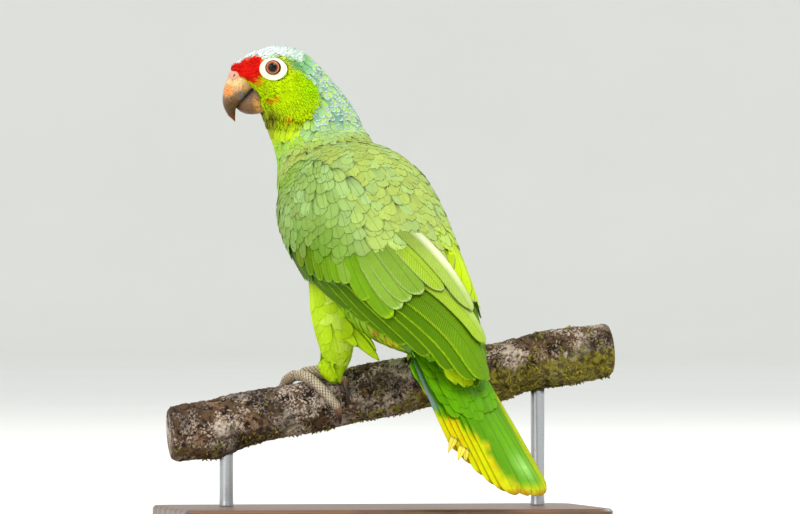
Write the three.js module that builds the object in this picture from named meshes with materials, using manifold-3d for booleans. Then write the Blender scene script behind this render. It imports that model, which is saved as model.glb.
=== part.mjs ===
// A red-lored amazon parrot at life size, perched on a cut length of mossy branch,
// which two short rods hold over a flat display base.
// Millimetres, +Z up. The breast faces +X and the left wing +Y; the head is turned to its left.
// The origin is the middle of the base's underside.
import * as THREE from 'three';
import { mergeVertices } from 'three/addons/utils/BufferGeometryUtils.js';
import Module from 'manifold-3d';

const wasm = await Module();
wasm.setup();

const { degToRad, lerp, clamp } = THREE.MathUtils;
const vec = (x, y, z) => new THREE.Vector3(x, y, z);
const UP = vec(0, 0, 1);

// ---------------------------------------------------------------- driving dimensions
const GAP = 0.3; // clear space between neighbouring pieces
const VANE_THICKNESS = 0.8;

// The head's own frame: forward, left and the point midway between the eyes.
const HEAD_YAW = 64;
const EYES_MIDDLE = vec(79.1, 25.7, 268);
const HEAD_FORWARD = vec(Math.cos(degToRad(HEAD_YAW)), Math.sin(degToRad(HEAD_YAW)), 0);
const HEAD_LEFT = vec(-HEAD_FORWARD.y, HEAD_FORWARD.x, 0);

// Stations of the trunk, from rump to neck: the middle of an oval section, how far its
// breast-to-back axis tilts and turns, and its half depth a and half width b.
const TRUNK_STATIONS = [
  { x: -74, y: 0, z: 99, tilt: -45, yaw: 0, a: 8, b: 17 },
  { x: -60, y: 0, z: 110, tilt: -44, yaw: 0, a: 17, b: 22 },
  { x: -31, y: 0, z: 129, tilt: -43, yaw: 0, a: 31, b: 34 },
  { x: -3, y: 0, z: 155, tilt: -42, yaw: 0, a: 38, b: 40 },
  { x: 22, y: 0, z: 181, tilt: -42, yaw: 0, a: 41, b: 43 },
  { x: 43, y: 0, z: 204, tilt: -34, yaw: 0, a: 37.5, b: 39 },
  { x: 57, y: 0, z: 219, tilt: -18, yaw: 10, a: 30.5, b: 31.5 },
];
// Level slices of neck and head, from the throat up: height above the eyes, the front and
// back of the slice along the head's forward axis, its half width and its turn.
const HEAD_SLICES = [
  { up: -36, front: 2.6, back: -57, half: 25, yaw: 40 },
  { up: -27, front: 6, back: -52, half: 23, yaw: 55 },
  { up: -19, front: 13, back: -47, half: 21.5, yaw: HEAD_YAW },
  { up: -12, front: 18.5, back: -41.5, half: 21, yaw: HEAD_YAW },
  { up: -4, front: 22, back: -34.5, half: 20, yaw: HEAD_YAW },
  { up: 3, front: 20, back: -28, half: 18.5, yaw: HEAD_YAW },
  { up: 8.5, front: 13, back: -21.5, half: 15, yaw: HEAD_YAW },
  { up: 12, front: 3.5, back: -14.5, half: 9, yaw: HEAD_YAW },
];
const CROWN_RISE = 1.3;
const NECK_FLOOR = 213; // level where the neck parts from the trunk
const HEAD_FLOOR = 240; // level where the head parts from the neck

// Stations of the surface over which the folded wings lie, from shoulders to wing tips.
const MANTLE_STATIONS = [
  { x: 57, y: 0, z: 219, tilt: -25, yaw: 0, a: 33, b: 34 },
  { x: 42, y: 0, z: 203, tilt: -36, yaw: 0, a: 41, b: 44 },
  { x: 22, y: 0, z: 181, tilt: -42, yaw: 0, a: 46, b: 50 },
  { x: -3, y: 0, z: 153.5, tilt: -42, yaw: 0, a: 42, b: 47 },
  { x: -31, y: 0, z: 128, tilt: -43, yaw: 0, a: 36, b: 40 },
  { x: -67, y: 0, z: 99, tilt: -43, yaw: 0, a: 26, b: 26 },
  { x: -85, y: 0, z: 83, tilt: -43, yaw: 0, a: 15, b: 20 },
  { x: -96, y: 0, z: 73, tilt: -43, yaw: 0, a: 10, b: 13 },
];
// A folded wing's outline: the angle from mid-back, towards its own side, of the edge over
// the back and of the edge along the belly, at places t along the mantle stations. Where the
// wings cross over the rump, the right one sinks under the left one.
const WING_PLACES = [0.75, 1.1, 1.9, 2.65, 3.4, 4.2, 4.9, 5.6, 6.3];
const WING_INNER = [66, 50, 35, 21, 4, -18, -46, -60, -28];
const WING_OUTER = [86, 118, 133, 137, 115, 98, 92, 76, 44];

// Rows of wing feathers, from the flights at the bottom to the scapulars on top. Each row
// runs from the belly side to the back; roots and tips are [t, angle] on the mantle.
const WING_ROWS_OF_FEATHERS = [
  {
    name: 'flights', count: 7, width: 13.5, lifts: [-1.2, -0.5], tilt: 0.5, long: true,
    roots: [[2.8, 121], [3.1, 106], [3.3, 93], [3.5, 81], [3.7, 69], [3.95, 54], [4.1, 42]],
    tips: [[4.9, 84], [5.5, 71], [6.1, 50], [6.5, 20], [6.55, -8], [6.35, -32], [5.9, -54]],
  },
  {
    name: 'greater coverts', count: 7, width: 13.5, lifts: [-1.5, 0.3], tilt: 0.4, long: false,
    roots: [[2.1, 126], [2.35, 110], [2.55, 99], [2.8, 88], [3.05, 84], [3.15, 73], [3.3, 58]],
    tips: [[2.85, 122], [3.12, 101], [3.4, 90], [3.65, 80], [4.4, 75], [4.42, 61], [4.38, 42]],
  },
  {
    name: 'tertials', count: 3, width: 17, lifts: [-1.5, 0.7], tilt: 0.4, long: true,
    roots: [[3.7, 42], [3, 50], [2.9, 26]],
    tips: [[5.15, -42], [4.4, 12], [4.85, -12]],
  },
  {
    name: 'median coverts', count: 5, width: 15, lifts: [-1.5, 0.6], tilt: 0.4, long: false,
    roots: [[1.55, 114], [1.95, 106], [2.15, 94], [2.35, 86], [2.5, 76], [2.65, 64], [2.9, 52]],
    tips: [[2.12, 112], [2.6, 102], [2.82, 88], [3.02, 80], [3.2, 70], [3.35, 58], [3.68, 50]],
  },
  {
    name: 'lesser coverts', count: 4, width: 18, lifts: [-1.5, 0.6], tilt: 0.4, long: false,
    roots: [[1.1, 106], [1.45, 100], [1.8, 90], [1.95, 78], [2.15, 64], [2.5, 50]],
    tips: [[1.62, 106], [2.05, 98], [2.43, 86], [2.6, 72], [2.83, 59], [3.2, 44]],
  },
  {
    name: 'outer scapulars', count: 4, width: 17, lifts: [-1.5, 0.7], tilt: 0.4, long: false,
    roots: [[1.5, 78], [1.75, 60], [2.1, 46], [2.55, 36]],
    tips: [[2.1, 73], [2.45, 54], [2.95, 40], [3.5, 29]],
  },
  {
    name: 'inner scapulars', count: 4, width: 15, lifts: [-1.5, 0.8], tilt: 0.4, long: false,
    roots: [[1.6, 52], [2, 38], [2.5, 27], [3.1, 17]],
    tips: [[2.2, 38], [2.7, 25], [3.25, 17], [3.85, 8]],
  },
];

// The tail: root, length and slope of its middle line, and the vanes of one side.
const TAIL_ROOT = vec(-64, 0, 102);
const TAIL_SLOPE = 47.5;
// Tail feathers of each side from the middle pair outwards: how far down and out each tip is.
const TAIL_TIPS_LEFT = [[110.5, 1.5], [107, 5.5], [101.5, 9], [93.5, 12.8], [84, 16.5], [74, 20]];
const TAIL_TIPS_RIGHT = [[111, -6.5], [110.5, -13], [109.5, -17.5], [107.5, -20.5], [104, -21.8], [97, -21.5]];
const TAIL_COVERT_TIPS = [[34, 15], [34, -16], [46, 8], [49, -5]];

// The branch: its run seen from above, centre height and mean radius.
const PERCH_FOOT = vec(22, 20, 0); // where the left foot stands, seen from above
const PERCH_DIRECTION = vec(-0.407, -0.914, 0).normalize();
const PERCH_START = -95;
const PERCH_END = 165;
const PERCH_RADIUS = 15.8;
const PERCH_HEIGHTS = [
  { u: -95, z: 53.5 },
  { u: -40, z: 65 },
  { u: -8, z: 71.6 },
  { u: 39, z: 82.4 },
  { u: 110, z: 94.2 },
  { u: 165, z: 103.6 },
];

// The stand.
const BASE_LENGTH = 250;
const BASE_WIDTH = 150;
const BASE_HEIGHT = 12;
const BASE_CORNER = 14;
const BASE_BEVEL = 1.5;
const ROD_RADIUS = 4;
const ROD_PLACES = { stand_rod_left: -62, stand_rod_right: 122 };

// ---------------------------------------------------------------- helpers
// A value on a smooth curve through evenly spaced ones (uniform Catmull-Rom).
function smooth(values, t) {
  const last = values.length - 1;
  const k = clamp(Math.floor(t), 0, last - 1);
  const f = t - k;
  const b = values[k];
  const c = values[k + 1];
  const a = k > 0 ? values[k - 1] : 2 * b - c;
  const d = k + 2 <= last ? values[k + 2] : 2 * c - b;
  return 0.5 * (2 * b + (c - a) * f + (2 * a - 5 * b + 4 * c - d) * f * f
    + (3 * b - a - 3 * c + d) * f * f * f);
}

// A value on straight stretches through (places[i], values[i]).
function ramp(places, values, x) {
  const k = clamp(places.findLastIndex((p) => p <= x), 0, places.length - 2);
  const f = clamp((x - places[k]) / (places[k + 1] - places[k]), 0, 1);
  return lerp(values[k], values[k + 1], f);
}

function stationAt(stations, t) {
  const at = (field) => smooth(stations.map((s) => s[field]), t);
  return { x: at('x'), y: at('y'), z: at('z'), tilt: at('tilt'), yaw: at('yaw'), a: at('a'), b: at('b') };
}

// The point of an oval section at an angle from its breast (or face) side, towards the left,
// moved out by lift.
function ovalPoint(s, angle, lift) {
  const tilt = degToRad(s.tilt);
  const yaw = degToRad(s.yaw);
  const front = vec(Math.cos(tilt) * Math.cos(yaw), Math.cos(tilt) * Math.sin(yaw), Math.sin(tilt));
  const left = vec(-Math.sin(yaw), Math.cos(yaw), 0);
  const f = degToRad(angle);
  return vec(s.x, s.y, s.z)
    .addScaledVector(front, (s.a + lift) * Math.cos(f))
    .addScaledVector(left, (s.b + lift) * Math.sin(f));
}

function geometryOf(points, faces) {
  const position = new Float32Array(points.flatMap((p) => [p.x, p.y, p.z]));
  const geometry = new THREE.BufferGeometry();
  geometry.setAttribute('position', new THREE.BufferAttribute(position, 3));
  geometry.setIndex(faces.flat());
  return geometry;
}

// A closed geometry as a manifold-3d solid, whichever way its faces point.
function solidOf(geometry) {
  const bare = geometry.clone();
  bare.deleteAttribute('normal');
  bare.deleteAttribute('uv');
  const merged = mergeVertices(bare, 1e-4);
  const index = merged.index.array;
  const kept = [];
  for (let i = 0; i < index.length; i += 3) {
    const [a, b, c] = index.slice(i, i + 3);
    if (a !== b && b !== c && c !== a) kept.push(a, b, c);
  }
  const build = (tris) => new wasm.Manifold(new wasm.Mesh({
    numProp: 3,
    vertProperties: merged.attributes.position.array,
    triVerts: new Uint32Array(tris),
  }));
  const made = build(kept);
  if (made.volume() > 0) return made;
  const turned = [];
  for (let i = 0; i < kept.length; i += 3) turned.push(kept[i], kept[i + 2], kept[i + 1]);
  return build(turned);
}

// The solid inside a row of rings of points, closed by a fan at each end.
function skinOf(rings, startPoint, endPoint) {
  const n = rings[0].length;
  const points = rings.flat();
  const faces = [];
  for (let k = 0; k + 1 < rings.length; k += 1) {
    for (let j = 0; j < n; j += 1) {
      const a = k * n + j;
      const b = k * n + ((j + 1) % n);
      faces.push([a, b, b + n], [a, b + n, a + n]);
    }
  }
  const middle = (ring) => ring.reduce((sum, p) => sum.add(p), vec(0, 0, 0)).divideScalar(n);
  const cap = (ring, base, tip, turn) => {
    points.push(tip ?? middle(ring));
    for (let j = 0; j < n; j += 1) {
      const edge = [base + j, base + ((j + 1) % n)];
      faces.push([points.length - 1, ...(turn ? edge.reverse() : edge)]);
    }
  };
  cap(rings[0], 0, startPoint, true);
  cap(rings.at(-1), (rings.length - 1) * n, endPoint, false);
  return solidOf(geometryOf(points, faces));
}

// A thin plate over a grid of top and bottom points: rows run along it, and both faces are
// split alike.
function plateOf(rows) {
  const across = rows[0].length;
  const under = rows.flat().length;
  const top = rows.flat().map((p) => p.top);
  const bottom = rows.flat().map((p) => p.bottom);
  const faces = [];
  for (let i = 0; i + 1 < rows.length; i += 1) {
    for (let j = 0; j + 1 < across; j += 1) {
      const a = i * across + j;
      const quad = [a, a + 1, a + across + 1, a + across];
      faces.push([quad[0], quad[1], quad[2]], [quad[0], quad[2], quad[3]]);
      faces.push([quad[2] + under, quad[1] + under, quad[0] + under]);
      faces.push([quad[3] + under, quad[2] + under, quad[0] + under]);
    }
  }
  const rim = [];
  for (let j = 0; j + 1 < across; j += 1) rim.push(j);
  for (let i = 0; i + 1 < rows.length; i += 1) rim.push(i * across + across - 1);
  for (let j = across - 1; j > 0; j -= 1) rim.push((rows.length - 1) * across + j);
  for (let i = rows.length - 1; i > 0; i -= 1) rim.push(i * across);
  rim.forEach((a, k) => {
    const b = rim[(k + 1) % rim.length];
    faces.push([b, a, a + under], [b, a + under, b + under]);
  });
  return solidOf(geometryOf([...top, ...bottom], faces));
}

function union(solids) {
  return solids.reduce((sum, s) => sum.add(s));
}

function largest(solid) {
  return solid.decompose().reduce((best, s) => (s.volume() > best.volume() ? s : best));
}

const BOX_REACH = 400;
// A block that fills space above (or below) a level.
function blockAbove(level) {
  const box = new THREE.BoxGeometry(BOX_REACH, BOX_REACH, BOX_REACH);
  return solidOf(box.translate(0, 0, level + BOX_REACH / 2));
}
function blockBelow(level) {
  const box = new THREE.BoxGeometry(BOX_REACH, BOX_REACH, BOX_REACH);
  return solidOf(box.translate(0, 0, level - BOX_REACH / 2));
}

function sphere(radius, centre, scale = [1, 1, 1], across = 12, down = 8) {
  const ball = new THREE.SphereGeometry(radius, across, down);
  return solidOf(ball.scale(...scale).translate(centre.x, centre.y, centre.z));
}

const nodes = new THREE.Group();
function addNode(name, solid, material) {
  const mesh = largest(solid).getMesh();
  const points = [];
  for (let i = 0; i < mesh.numVert; i += 1) {
    const [x, y, z] = mesh.vertProperties.subarray(i * mesh.numProp, i * mesh.numProp + 3);
    points.push(vec(x, y, z));
  }
  const geometry = geometryOf(points, [Array.from(mesh.triVerts)]);
  geometry.computeVertexNormals();
  const made = new THREE.Mesh(geometry, material);
  made.name = name;
  nodes.add(made);
}

const finish = (color, roughness, metalness = 0) =>
  new THREE.MeshStandardMaterial({ color, roughness, metalness });
const MATERIALS = {
  plumage: finish(0x8fbf3a, 0.8),
  wing: finish(0x6fae28, 0.7),
  tail: finish(0x62b514, 0.7),
  horn: finish(0xc9a37c, 0.45),
  skin: finish(0xe8d8cf, 0.7),
  eye: finish(0x5c2b18, 0.1),
  foot: finish(0x9a8876, 0.8),
  claw: finish(0x4a3a30, 0.5),
  bark: finish(0x5e5348, 0.95),
  base: finish(0x3a2b20, 0.5),
  rod: finish(0x8d8f92, 0.35, 1),
};

// ---------------------------------------------------------------- trunk, neck and head
const headPoint = (forward, left, up) => EYES_MIDDLE.clone()
  .addScaledVector(HEAD_FORWARD, forward)
  .addScaledVector(HEAD_LEFT, left)
  .addScaledVector(UP, up);

const BODY_STATIONS = [
  ...TRUNK_STATIONS,
  ...HEAD_SLICES.map((s) => {
    const middle = headPoint((s.front + s.back) / 2, 0, s.up);
    return { x: middle.x, y: middle.y, z: middle.z, tilt: 0, yaw: s.yaw, a: (s.front - s.back) / 2, b: s.half };
  }),
];
const BODY_SIDES = 18;

// Trunk, neck and head as one form, moved out by grow.
function bodyForm(grow = 0) {
  const last = BODY_STATIONS.length - 1;
  const rings = [];
  for (let t = 0; t <= last; t += 0.5) {
    const s = stationAt(BODY_STATIONS, t);
    rings.push(Array.from({ length: BODY_SIDES }, (_, j) => ovalPoint(s, (360 * j) / BODY_SIDES, grow)));
  }
  const rump = stationAt(BODY_STATIONS, 0);
  const top = BODY_STATIONS[last];
  return skinOf(
    rings,
    vec(rump.x - grow, rump.y, rump.z - grow),
    vec(top.x, top.y, top.z + CROWN_RISE + grow),
  );
}

// ---------------------------------------------------------------- eyes and lids
const EYE_RADIUS = 6;
const EYE_INSET = 15.5;
const LID_RING = 4.9;
const LID_TUBE = 0.85;
const EYE_TURN = 12; // an eye looks this far forward of straight sideways

const eyeCentre = (side) => headPoint(0, side * EYE_INSET, 0);
const eyeAxis = (side) => HEAD_LEFT.clone().multiplyScalar(side)
  .applyAxisAngle(UP, -side * degToRad(EYE_TURN));

function facing(geometry, axis, place) {
  const turn = new THREE.Quaternion().setFromUnitVectors(vec(0, 0, 1), axis);
  return geometry.applyQuaternion(turn).translate(place.x, place.y, place.z);
}

function lidOf(side) {
  const axis = eyeAxis(side);
  const depth = Math.sqrt(EYE_RADIUS ** 2 - LID_RING ** 2);
  const place = eyeCentre(side).addScaledVector(axis, depth + 0.3);
  return solidOf(facing(new THREE.TorusGeometry(LID_RING, LID_TUBE, 4, 12), axis, place));
}

function eyeball(side, grow = 0) {
  return sphere(EYE_RADIUS + grow, eyeCentre(side), [1, 1, 1], 12, 8);
}

// ---------------------------------------------------------------- bill and cere
// Sections of the bill in the head's frame: the ridge and the lower edge as (forward, up),
// and the half width, from the face to the point.
const UPPER_BILL = {
  ridge: [[13.5, 1], [23.3, -4.5], [26.6, -11], [27.7, -17.5], [27, -23], [24.4, -28]],
  edge: [[3, -8], [10.8, -12], [14.2, -16.4], [17.6, -20.2], [20, -23.2], [20.4, -27.5]],
  half: [8.6, 8.8, 8, 6.6, 4.6, 2.4],
  point: [20.3, -31.6],
};
const LOWER_BILL = {
  ridge: [[3, -9], [9.8, -13], [14.4, -17.6], [17.8, -21.2]],
  edge: [[1, -25], [7.5, -27], [13, -27.1], [17.3, -25.6]],
  half: [8, 8.4, 7.4, 5],
  point: [19.8, -23.4],
};
const BILL_SIDES = 14;

function billForm({ ridge, edge, half, point }, grow = 0) {
  const rings = [];
  for (let t = 0; t <= ridge.length - 1; t += 0.5) {
    const at = (list, axis) => smooth(list.map((p) => p[axis]), t);
    const top = [at(ridge, 0), at(ridge, 1)];
    const low = [at(edge, 0), at(edge, 1)];
    const width = smooth(half, t) + grow;
    const reach = Math.hypot(top[0] - low[0], top[1] - low[1]) / 2 + grow;
    const middle = [(top[0] + low[0]) / 2, (top[1] + low[1]) / 2];
    const along = [(top[0] - low[0]) / 2, (top[1] - low[1]) / 2].map((v) => (v * reach) / (reach - grow));
    rings.push(Array.from({ length: BILL_SIDES }, (_, j) => {
      const f = (2 * Math.PI * j) / BILL_SIDES;
      return headPoint(
        middle[0] + along[0] * Math.cos(f),
        width * Math.sin(f),
        middle[1] + along[1] * Math.cos(f),
      );
    }));
  }
  return skinOf(rings, undefined, headPoint(point[0], 0, point[1]));
}

const CERE_RADIUS = 3.3;
function cereForm() {
  const swelling = (side) => sphere(CERE_RADIUS, headPoint(20.4, side * 4, -3.6), [1.15, 1.15, 1], 9, 6);
  const bridge = sphere(CERE_RADIUS, headPoint(20.6, 0, -3), [1.2, 1.2, 0.9], 8, 5);
  const nostril = (side) => {
    const hole = new THREE.CylinderGeometry(0.85, 0.6, 4, 6).rotateX(Math.PI / 2);
    return solidOf(facing(hole, HEAD_LEFT.clone().multiplyScalar(side), headPoint(20.2, side * 8.2, -3.8)));
  };
  return union([swelling(1), swelling(-1), bridge]).subtract(nostril(1)).subtract(nostril(-1));
}

// ---------------------------------------------------------------- wings
const WING_CLEARANCE = 2.8; // over the shield, for what has to pass its feathers
const TUCK_DEPTH = 5.6;
const TUCK_MARGIN = 5;
const TUCK_BAND = 17;

// How far the right wing lies lower where the left wing covers it.
function tuck(t, angle, side) {
  if (side > 0) return 0;
  const edge = TUCK_MARGIN - ramp(WING_PLACES, WING_INNER, t);
  return TUCK_DEPTH * (1 - THREE.MathUtils.smoothstep(angle, edge, edge + TUCK_BAND));
}

// A point of the mantle surface at place t and an angle from mid-back towards a side.
const mantleOval = (t, angle, side, lift) => ovalPoint(stationAt(MANTLE_STATIONS, t), 180 - side * angle, lift);
const mantlePoint = (t, angle, side, lift) => mantleOval(t, angle, side, lift - tuck(t, angle, side));

// The mantle's outward normal and its steps along t and along the angle, leaving the tuck aside.
function mantleFrame(t, angle, side) {
  const step = (dt, turn) => mantleOval(t + dt, angle + turn, side, 0);
  const along = step(0.02, 0).sub(step(-0.02, 0)).divideScalar(0.04);
  const round = step(0, 1).sub(step(0, -1)).divideScalar(2);
  return { along, round, normal: along.clone().cross(round).normalize().multiplyScalar(-side) };
}

const VANE_STEPS = {
  flat: { places: [0, 0.5, 0.9, 1], widths: [0.75, 1, 0.9, 0.4] },
  long: { places: [0, 0.42, 0.8, 1], widths: [0.8, 1, 0.95, 0.45] },
  short: { places: [0, 0.7, 1], widths: [0.85, 1, 0.5] },
};
// Over the wing's core a feather's underside is sunk into it, at these lifts.
const ROOTED = { places: [4.4, 5], lifts: [-2.8, 0] };
const VANE_STAGGER = 0.06; // how much higher each feather of a row lies than the one before
const TIP_ROUNDING = 0.22; // how far the tip's corners lie back, in widths

// One wing feather as a plate that lies on the mantle, its belly-side edge raised by tilt.
function mantleVane(root, tip, { width, lifts, tilt, long }, side, raise) {
  const { places, widths } = VANE_STEPS[long ? 'long' : 'short'];
  const rows = places.map((s, i) => {
    const t = lerp(root[0], tip[0], s);
    const angle = lerp(root[1], tip[1], s);
    const { along, round, normal } = mantleFrame(t, angle, side);
    const run = along.clone().multiplyScalar(tip[0] - root[0]).addScaledVector(round, tip[1] - root[1]).normalize();
    const across = normal.clone().cross(run).multiplyScalar(side);
    return [-1, 0, 1].map((c) => {
      const back = s === 1 ? -Math.abs(c) * TIP_ROUNDING * width : 0;
      const shift = across.clone().multiplyScalar((c * widths[i] * width) / 2).addScaledVector(run, back);
      const place = t + shift.dot(along) / along.lengthSq();
      const turn = angle + shift.dot(round) / round.lengthSq();
      const lift = lerp(lifts[0], lifts[1], s) + c * tilt + raise;
      const floor = Math.min(lift - VANE_THICKNESS, ramp(ROOTED.places, ROOTED.lifts, place) + raise);
      return { top: mantlePoint(place, turn, side, lift), bottom: mantlePoint(place, turn, side, floor) };
    });
  });
  return plateOf(rows);
}

function featherRow(row, side) {
  return Array.from({ length: row.count }, (_, i) => {
    const at = (list, axis) => smooth(list.map((p) => p[axis]), (i * (list.length - 1)) / (row.count - 1));
    const root = [at(row.roots, 0), at(row.roots, 1)];
    const tip = [at(row.tips, 0), at(row.tips, 1)];
    return mantleVane(root, tip, row, side, VANE_STAGGER * i);
  });
}

const WING_STEPS = 10;
const WING_COLUMNS = 6;
const WING_EDGE_DROP = 3.2;
// How deep a wing may be at two angles near mid-back.
const SHALLOW = { angles: [2, 18], depths: [3.2, 13] };
// Where the left wing crosses over the right one: the run of places, the side margin and the
// height of the surface that parts them.
const CROSSING = { start: 3.5, end: 6.8, step: 0.4, margin: 12, height: -4.2, reach: 14 };
const WING_CORE = { end: 4.7, depth: 1.8, inset: 3, blend: [1.1, 1.9] };
const WING_OUTLINE = { end: WING_PLACES.at(-1), depth: 0, inset: -5, blend: [1, 2] };

// The folded wing's body: a shield that hugs the trunk, down to place end. Below the
// shoulder its face lies deeper by depth, so that the feathers' roots sink into it, and its
// edges are set in by an angle.
function wingShield(side, { end, depth, inset, blend }, grow = 0) {
  const first = WING_PLACES[0];
  const rows = [];
  for (let i = 0; i <= WING_STEPS; i += 1) {
    const t = lerp(first, end, i / WING_STEPS);
    const thick = ramp([first, 3.4, 4.2, 5], [13, 10, 4, 2], t);
    const low = ramp(WING_PLACES, WING_INNER, t) + inset;
    const high = ramp(WING_PLACES, WING_OUTER, t) - inset;
    const face = depth * THREE.MathUtils.smoothstep(t, ...blend);
    const endDrop = WING_EDGE_DROP * Math.max(0, 1 - i / 1.5) ** 2;
    rows.push(Array.from({ length: WING_COLUMNS + 1 }, (_, j) => {
      const q = j / WING_COLUMNS;
      const edgeDrop = q < 0.5 ? WING_EDGE_DROP : WING_EDGE_DROP / 3;
      const bevel = edgeDrop * Math.abs(2 * q - 1) ** 4 * clamp((4.6 - t) / 2, 0, 1);
      const drop = Math.max(endDrop, bevel) + face;
      const angle = lerp(low, high, q);
      const deep = Math.max(drop + 0.5, Math.min(thick, ramp(SHALLOW.angles, SHALLOW.depths, angle)));
      return { top: mantlePoint(t, angle, side, grow - drop), bottom: mantlePoint(t, angle, side, -grow - deep) };
    }));
  }
  return plateOf(rows);
}

function wingForm(side) {
  return union([wingShield(side, WING_CORE), ...WING_ROWS_OF_FEATHERS.flatMap((row) => featherRow(row, side))]);
}

// Over the back, the space between two heights over the mantle where one wing can cross the other.
function crossingBlock(above, below) {
  const rows = [];
  for (let t = CROSSING.start; t < CROSSING.end; t += CROSSING.step) {
    const reach = Math.abs(ramp(WING_PLACES, WING_INNER, t)) + CROSSING.margin;
    const angles = Array.from({ length: 7 }, (_, k) => lerp(-reach, reach, k / 6));
    rows.push(angles.map((angle) => (
      { top: mantlePoint(t, angle, 1, above), bottom: mantlePoint(t, angle, 1, below) }
    )));
  }
  return plateOf(rows);
}

// ---------------------------------------------------------------- tail
const TAIL_DOWN = vec(-Math.cos(degToRad(TAIL_SLOPE)), 0, -Math.sin(degToRad(TAIL_SLOPE)));
const TAIL_UP = vec(-Math.sin(degToRad(TAIL_SLOPE)), 0, Math.cos(degToRad(TAIL_SLOPE)));
const tailPoint = (down, left, up) => TAIL_ROOT.clone()
  .addScaledVector(TAIL_DOWN, down)
  .addScaledVector(vec(0, 1, 0), left)
  .addScaledVector(TAIL_UP, up);

// The tail's core, from the rump to a thin edge under the feathers' middles:
// how far down each section is, its half width and its lowest and highest level.
const TAIL_CORE = [[-4, 19, -9, 3], [18, 18, -8, 2], [40, 14, -4.5, 0.5], [60, 9, -2.2, -0.4]];

function tailCore() {
  const rings = TAIL_CORE.map(([down, half, low, high]) => Array.from({ length: 12 }, (_, j) => {
    const f = (2 * Math.PI * j) / 12;
    return tailPoint(down, half * Math.cos(f), lerp(low, high, (1 + Math.sin(f)) / 2));
  }));
  return skinOf(rings);
}

// One tail feather as a flat plate from root to tip, each [down, left, up], its outer edge low.
function tailVane(root, tip, width, tilt) {
  const { places, widths } = VANE_STEPS.flat;
  const rows = places.map((s, i) => [-1, 0, 1].map((c) => {
    const back = s === 1 ? -Math.abs(c) * TIP_ROUNDING * width : 0;
    const [down, left, up] = [0, 1, 2].map((k) => lerp(root[k], tip[k], s));
    const half = (widths[i] * width) / 2;
    const top = tailPoint(down + back, left + c * half, up + c * tilt);
    return { top, bottom: top.clone().addScaledVector(TAIL_UP, -VANE_THICKNESS) };
  }));
  return plateOf(rows);
}

const TAIL_STEP_DOWN = 0.62; // how much lower each feather lies than the one nearer the middle
const TAIL_FEATHER_WIDTH = 14.5;

function tailForm() {
  const half = (tips, side) => tips.map(([down, left], k) => {
    const up = 1.4 - TAIL_STEP_DOWN * (k + (side > 0 ? 0 : 0.5));
    const width = TAIL_FEATHER_WIDTH - 0.7 * k;
    return tailVane([2, side * (1.5 + 3.3 * k), up], [down, left, up - 0.2 * k], width, -0.3 * side);
  });
  const coverts = TAIL_COVERT_TIPS.map(([down, left], k) => (
    tailVane([-2, left * 0.7, 2.6], [down, left, 1.8 + 0.2 * k], 15, left > 0 ? -0.4 : 0.4)
  ));
  return union([tailCore(), ...half(TAIL_TIPS_LEFT, 1), ...half(TAIL_TIPS_RIGHT, -1), ...coverts]);
}

// ---------------------------------------------------------------- legs and feet
const PERCH_SIDE = PERCH_DIRECTION.clone().cross(UP); // level, across the branch, towards the tail side
const RIGHT_FOOT_ALONG = 55;

function perchAxis(u) {
  const z = ramp(PERCH_HEIGHTS.map((p) => p.u), PERCH_HEIGHTS.map((p) => p.z), u);
  return PERCH_FOOT.clone().addScaledVector(PERCH_DIRECTION, u).setZ(z);
}

// A point beside the branch: along it, round it from the top towards the tail side, and out.
function besidePerch(u, angle, out) {
  const f = degToRad(angle);
  const rise = perchAxis(u + 10).sub(perchAxis(u - 10)).normalize();
  const up = PERCH_SIDE.clone().cross(rise).normalize();
  if (up.z < 0) up.negate();
  const reach = PERCH_RADIUS + out;
  return perchAxis(u)
    .addScaledVector(up, reach * Math.cos(f))
    .addScaledVector(PERCH_SIDE, reach * Math.sin(f));
}

// A round tapered limb through points, with a radius at each.
function limb(points, radii, sides = 10, grow = 0) {
  const curve = new THREE.CatmullRomCurve3(points);
  const steps = points.length * 2 - 2;
  const frames = curve.computeFrenetFrames(steps);
  const rings = [];
  for (let i = 0; i <= steps; i += 1) {
    const centre = curve.getPoint(i / steps);
    const r = smooth(radii, (i / steps) * (radii.length - 1)) + grow;
    rings.push(Array.from({ length: sides }, (_, j) => {
      const f = (2 * Math.PI * j) / sides;
      return centre.clone()
        .addScaledVector(frames.normals[i], r * Math.cos(f))
        .addScaledVector(frames.binormals[i], r * Math.sin(f));
    }));
  }
  const ends = [0, steps].map((i) => {
    const r = smooth(radii, (i / steps) * (radii.length - 1)) + grow;
    return curve.getPoint(i / steps).addScaledVector(frames.tangents[i], (i ? 0.5 : -0.5) * r);
  });
  return skinOf(rings, ends[0], ends[1]);
}

// The feathered leg: places of its middle line in the bird's own frame for the left side,
// and its radii, from the belly to the ankle.
const LEG_LINE = [[20, 24, 147], [13, 25.5, 126], [10.5, 24.5, 108], [13.5, 22.5, 96]];
const LEG_RADII = [12.5, 13.5, 12.5, 9.5, 6];
const FOOT_PLACES = { left: 0, right: RIGHT_FOOT_ALONG };
const ANKLE_ANGLE = 26;
const ANKLE_OUT = 6.5;

function legForm(side, centre) {
  const shift = perchAxis(centre).sub(perchAxis(0));
  const ankle = besidePerch(centre, ANKLE_ANGLE, ANKLE_OUT);
  const line = LEG_LINE.map(([x, y, z], i) => {
    const follow = i / LEG_LINE.length; // the lower leg leans to its own foothold
    return vec(
      x + follow * shift.x,
      side > 0 ? y : lerp(-y, y + shift.y, follow),
      z + follow * shift.z,
    );
  });
  return limb([...line, ankle], LEG_RADII, 12);
}

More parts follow.
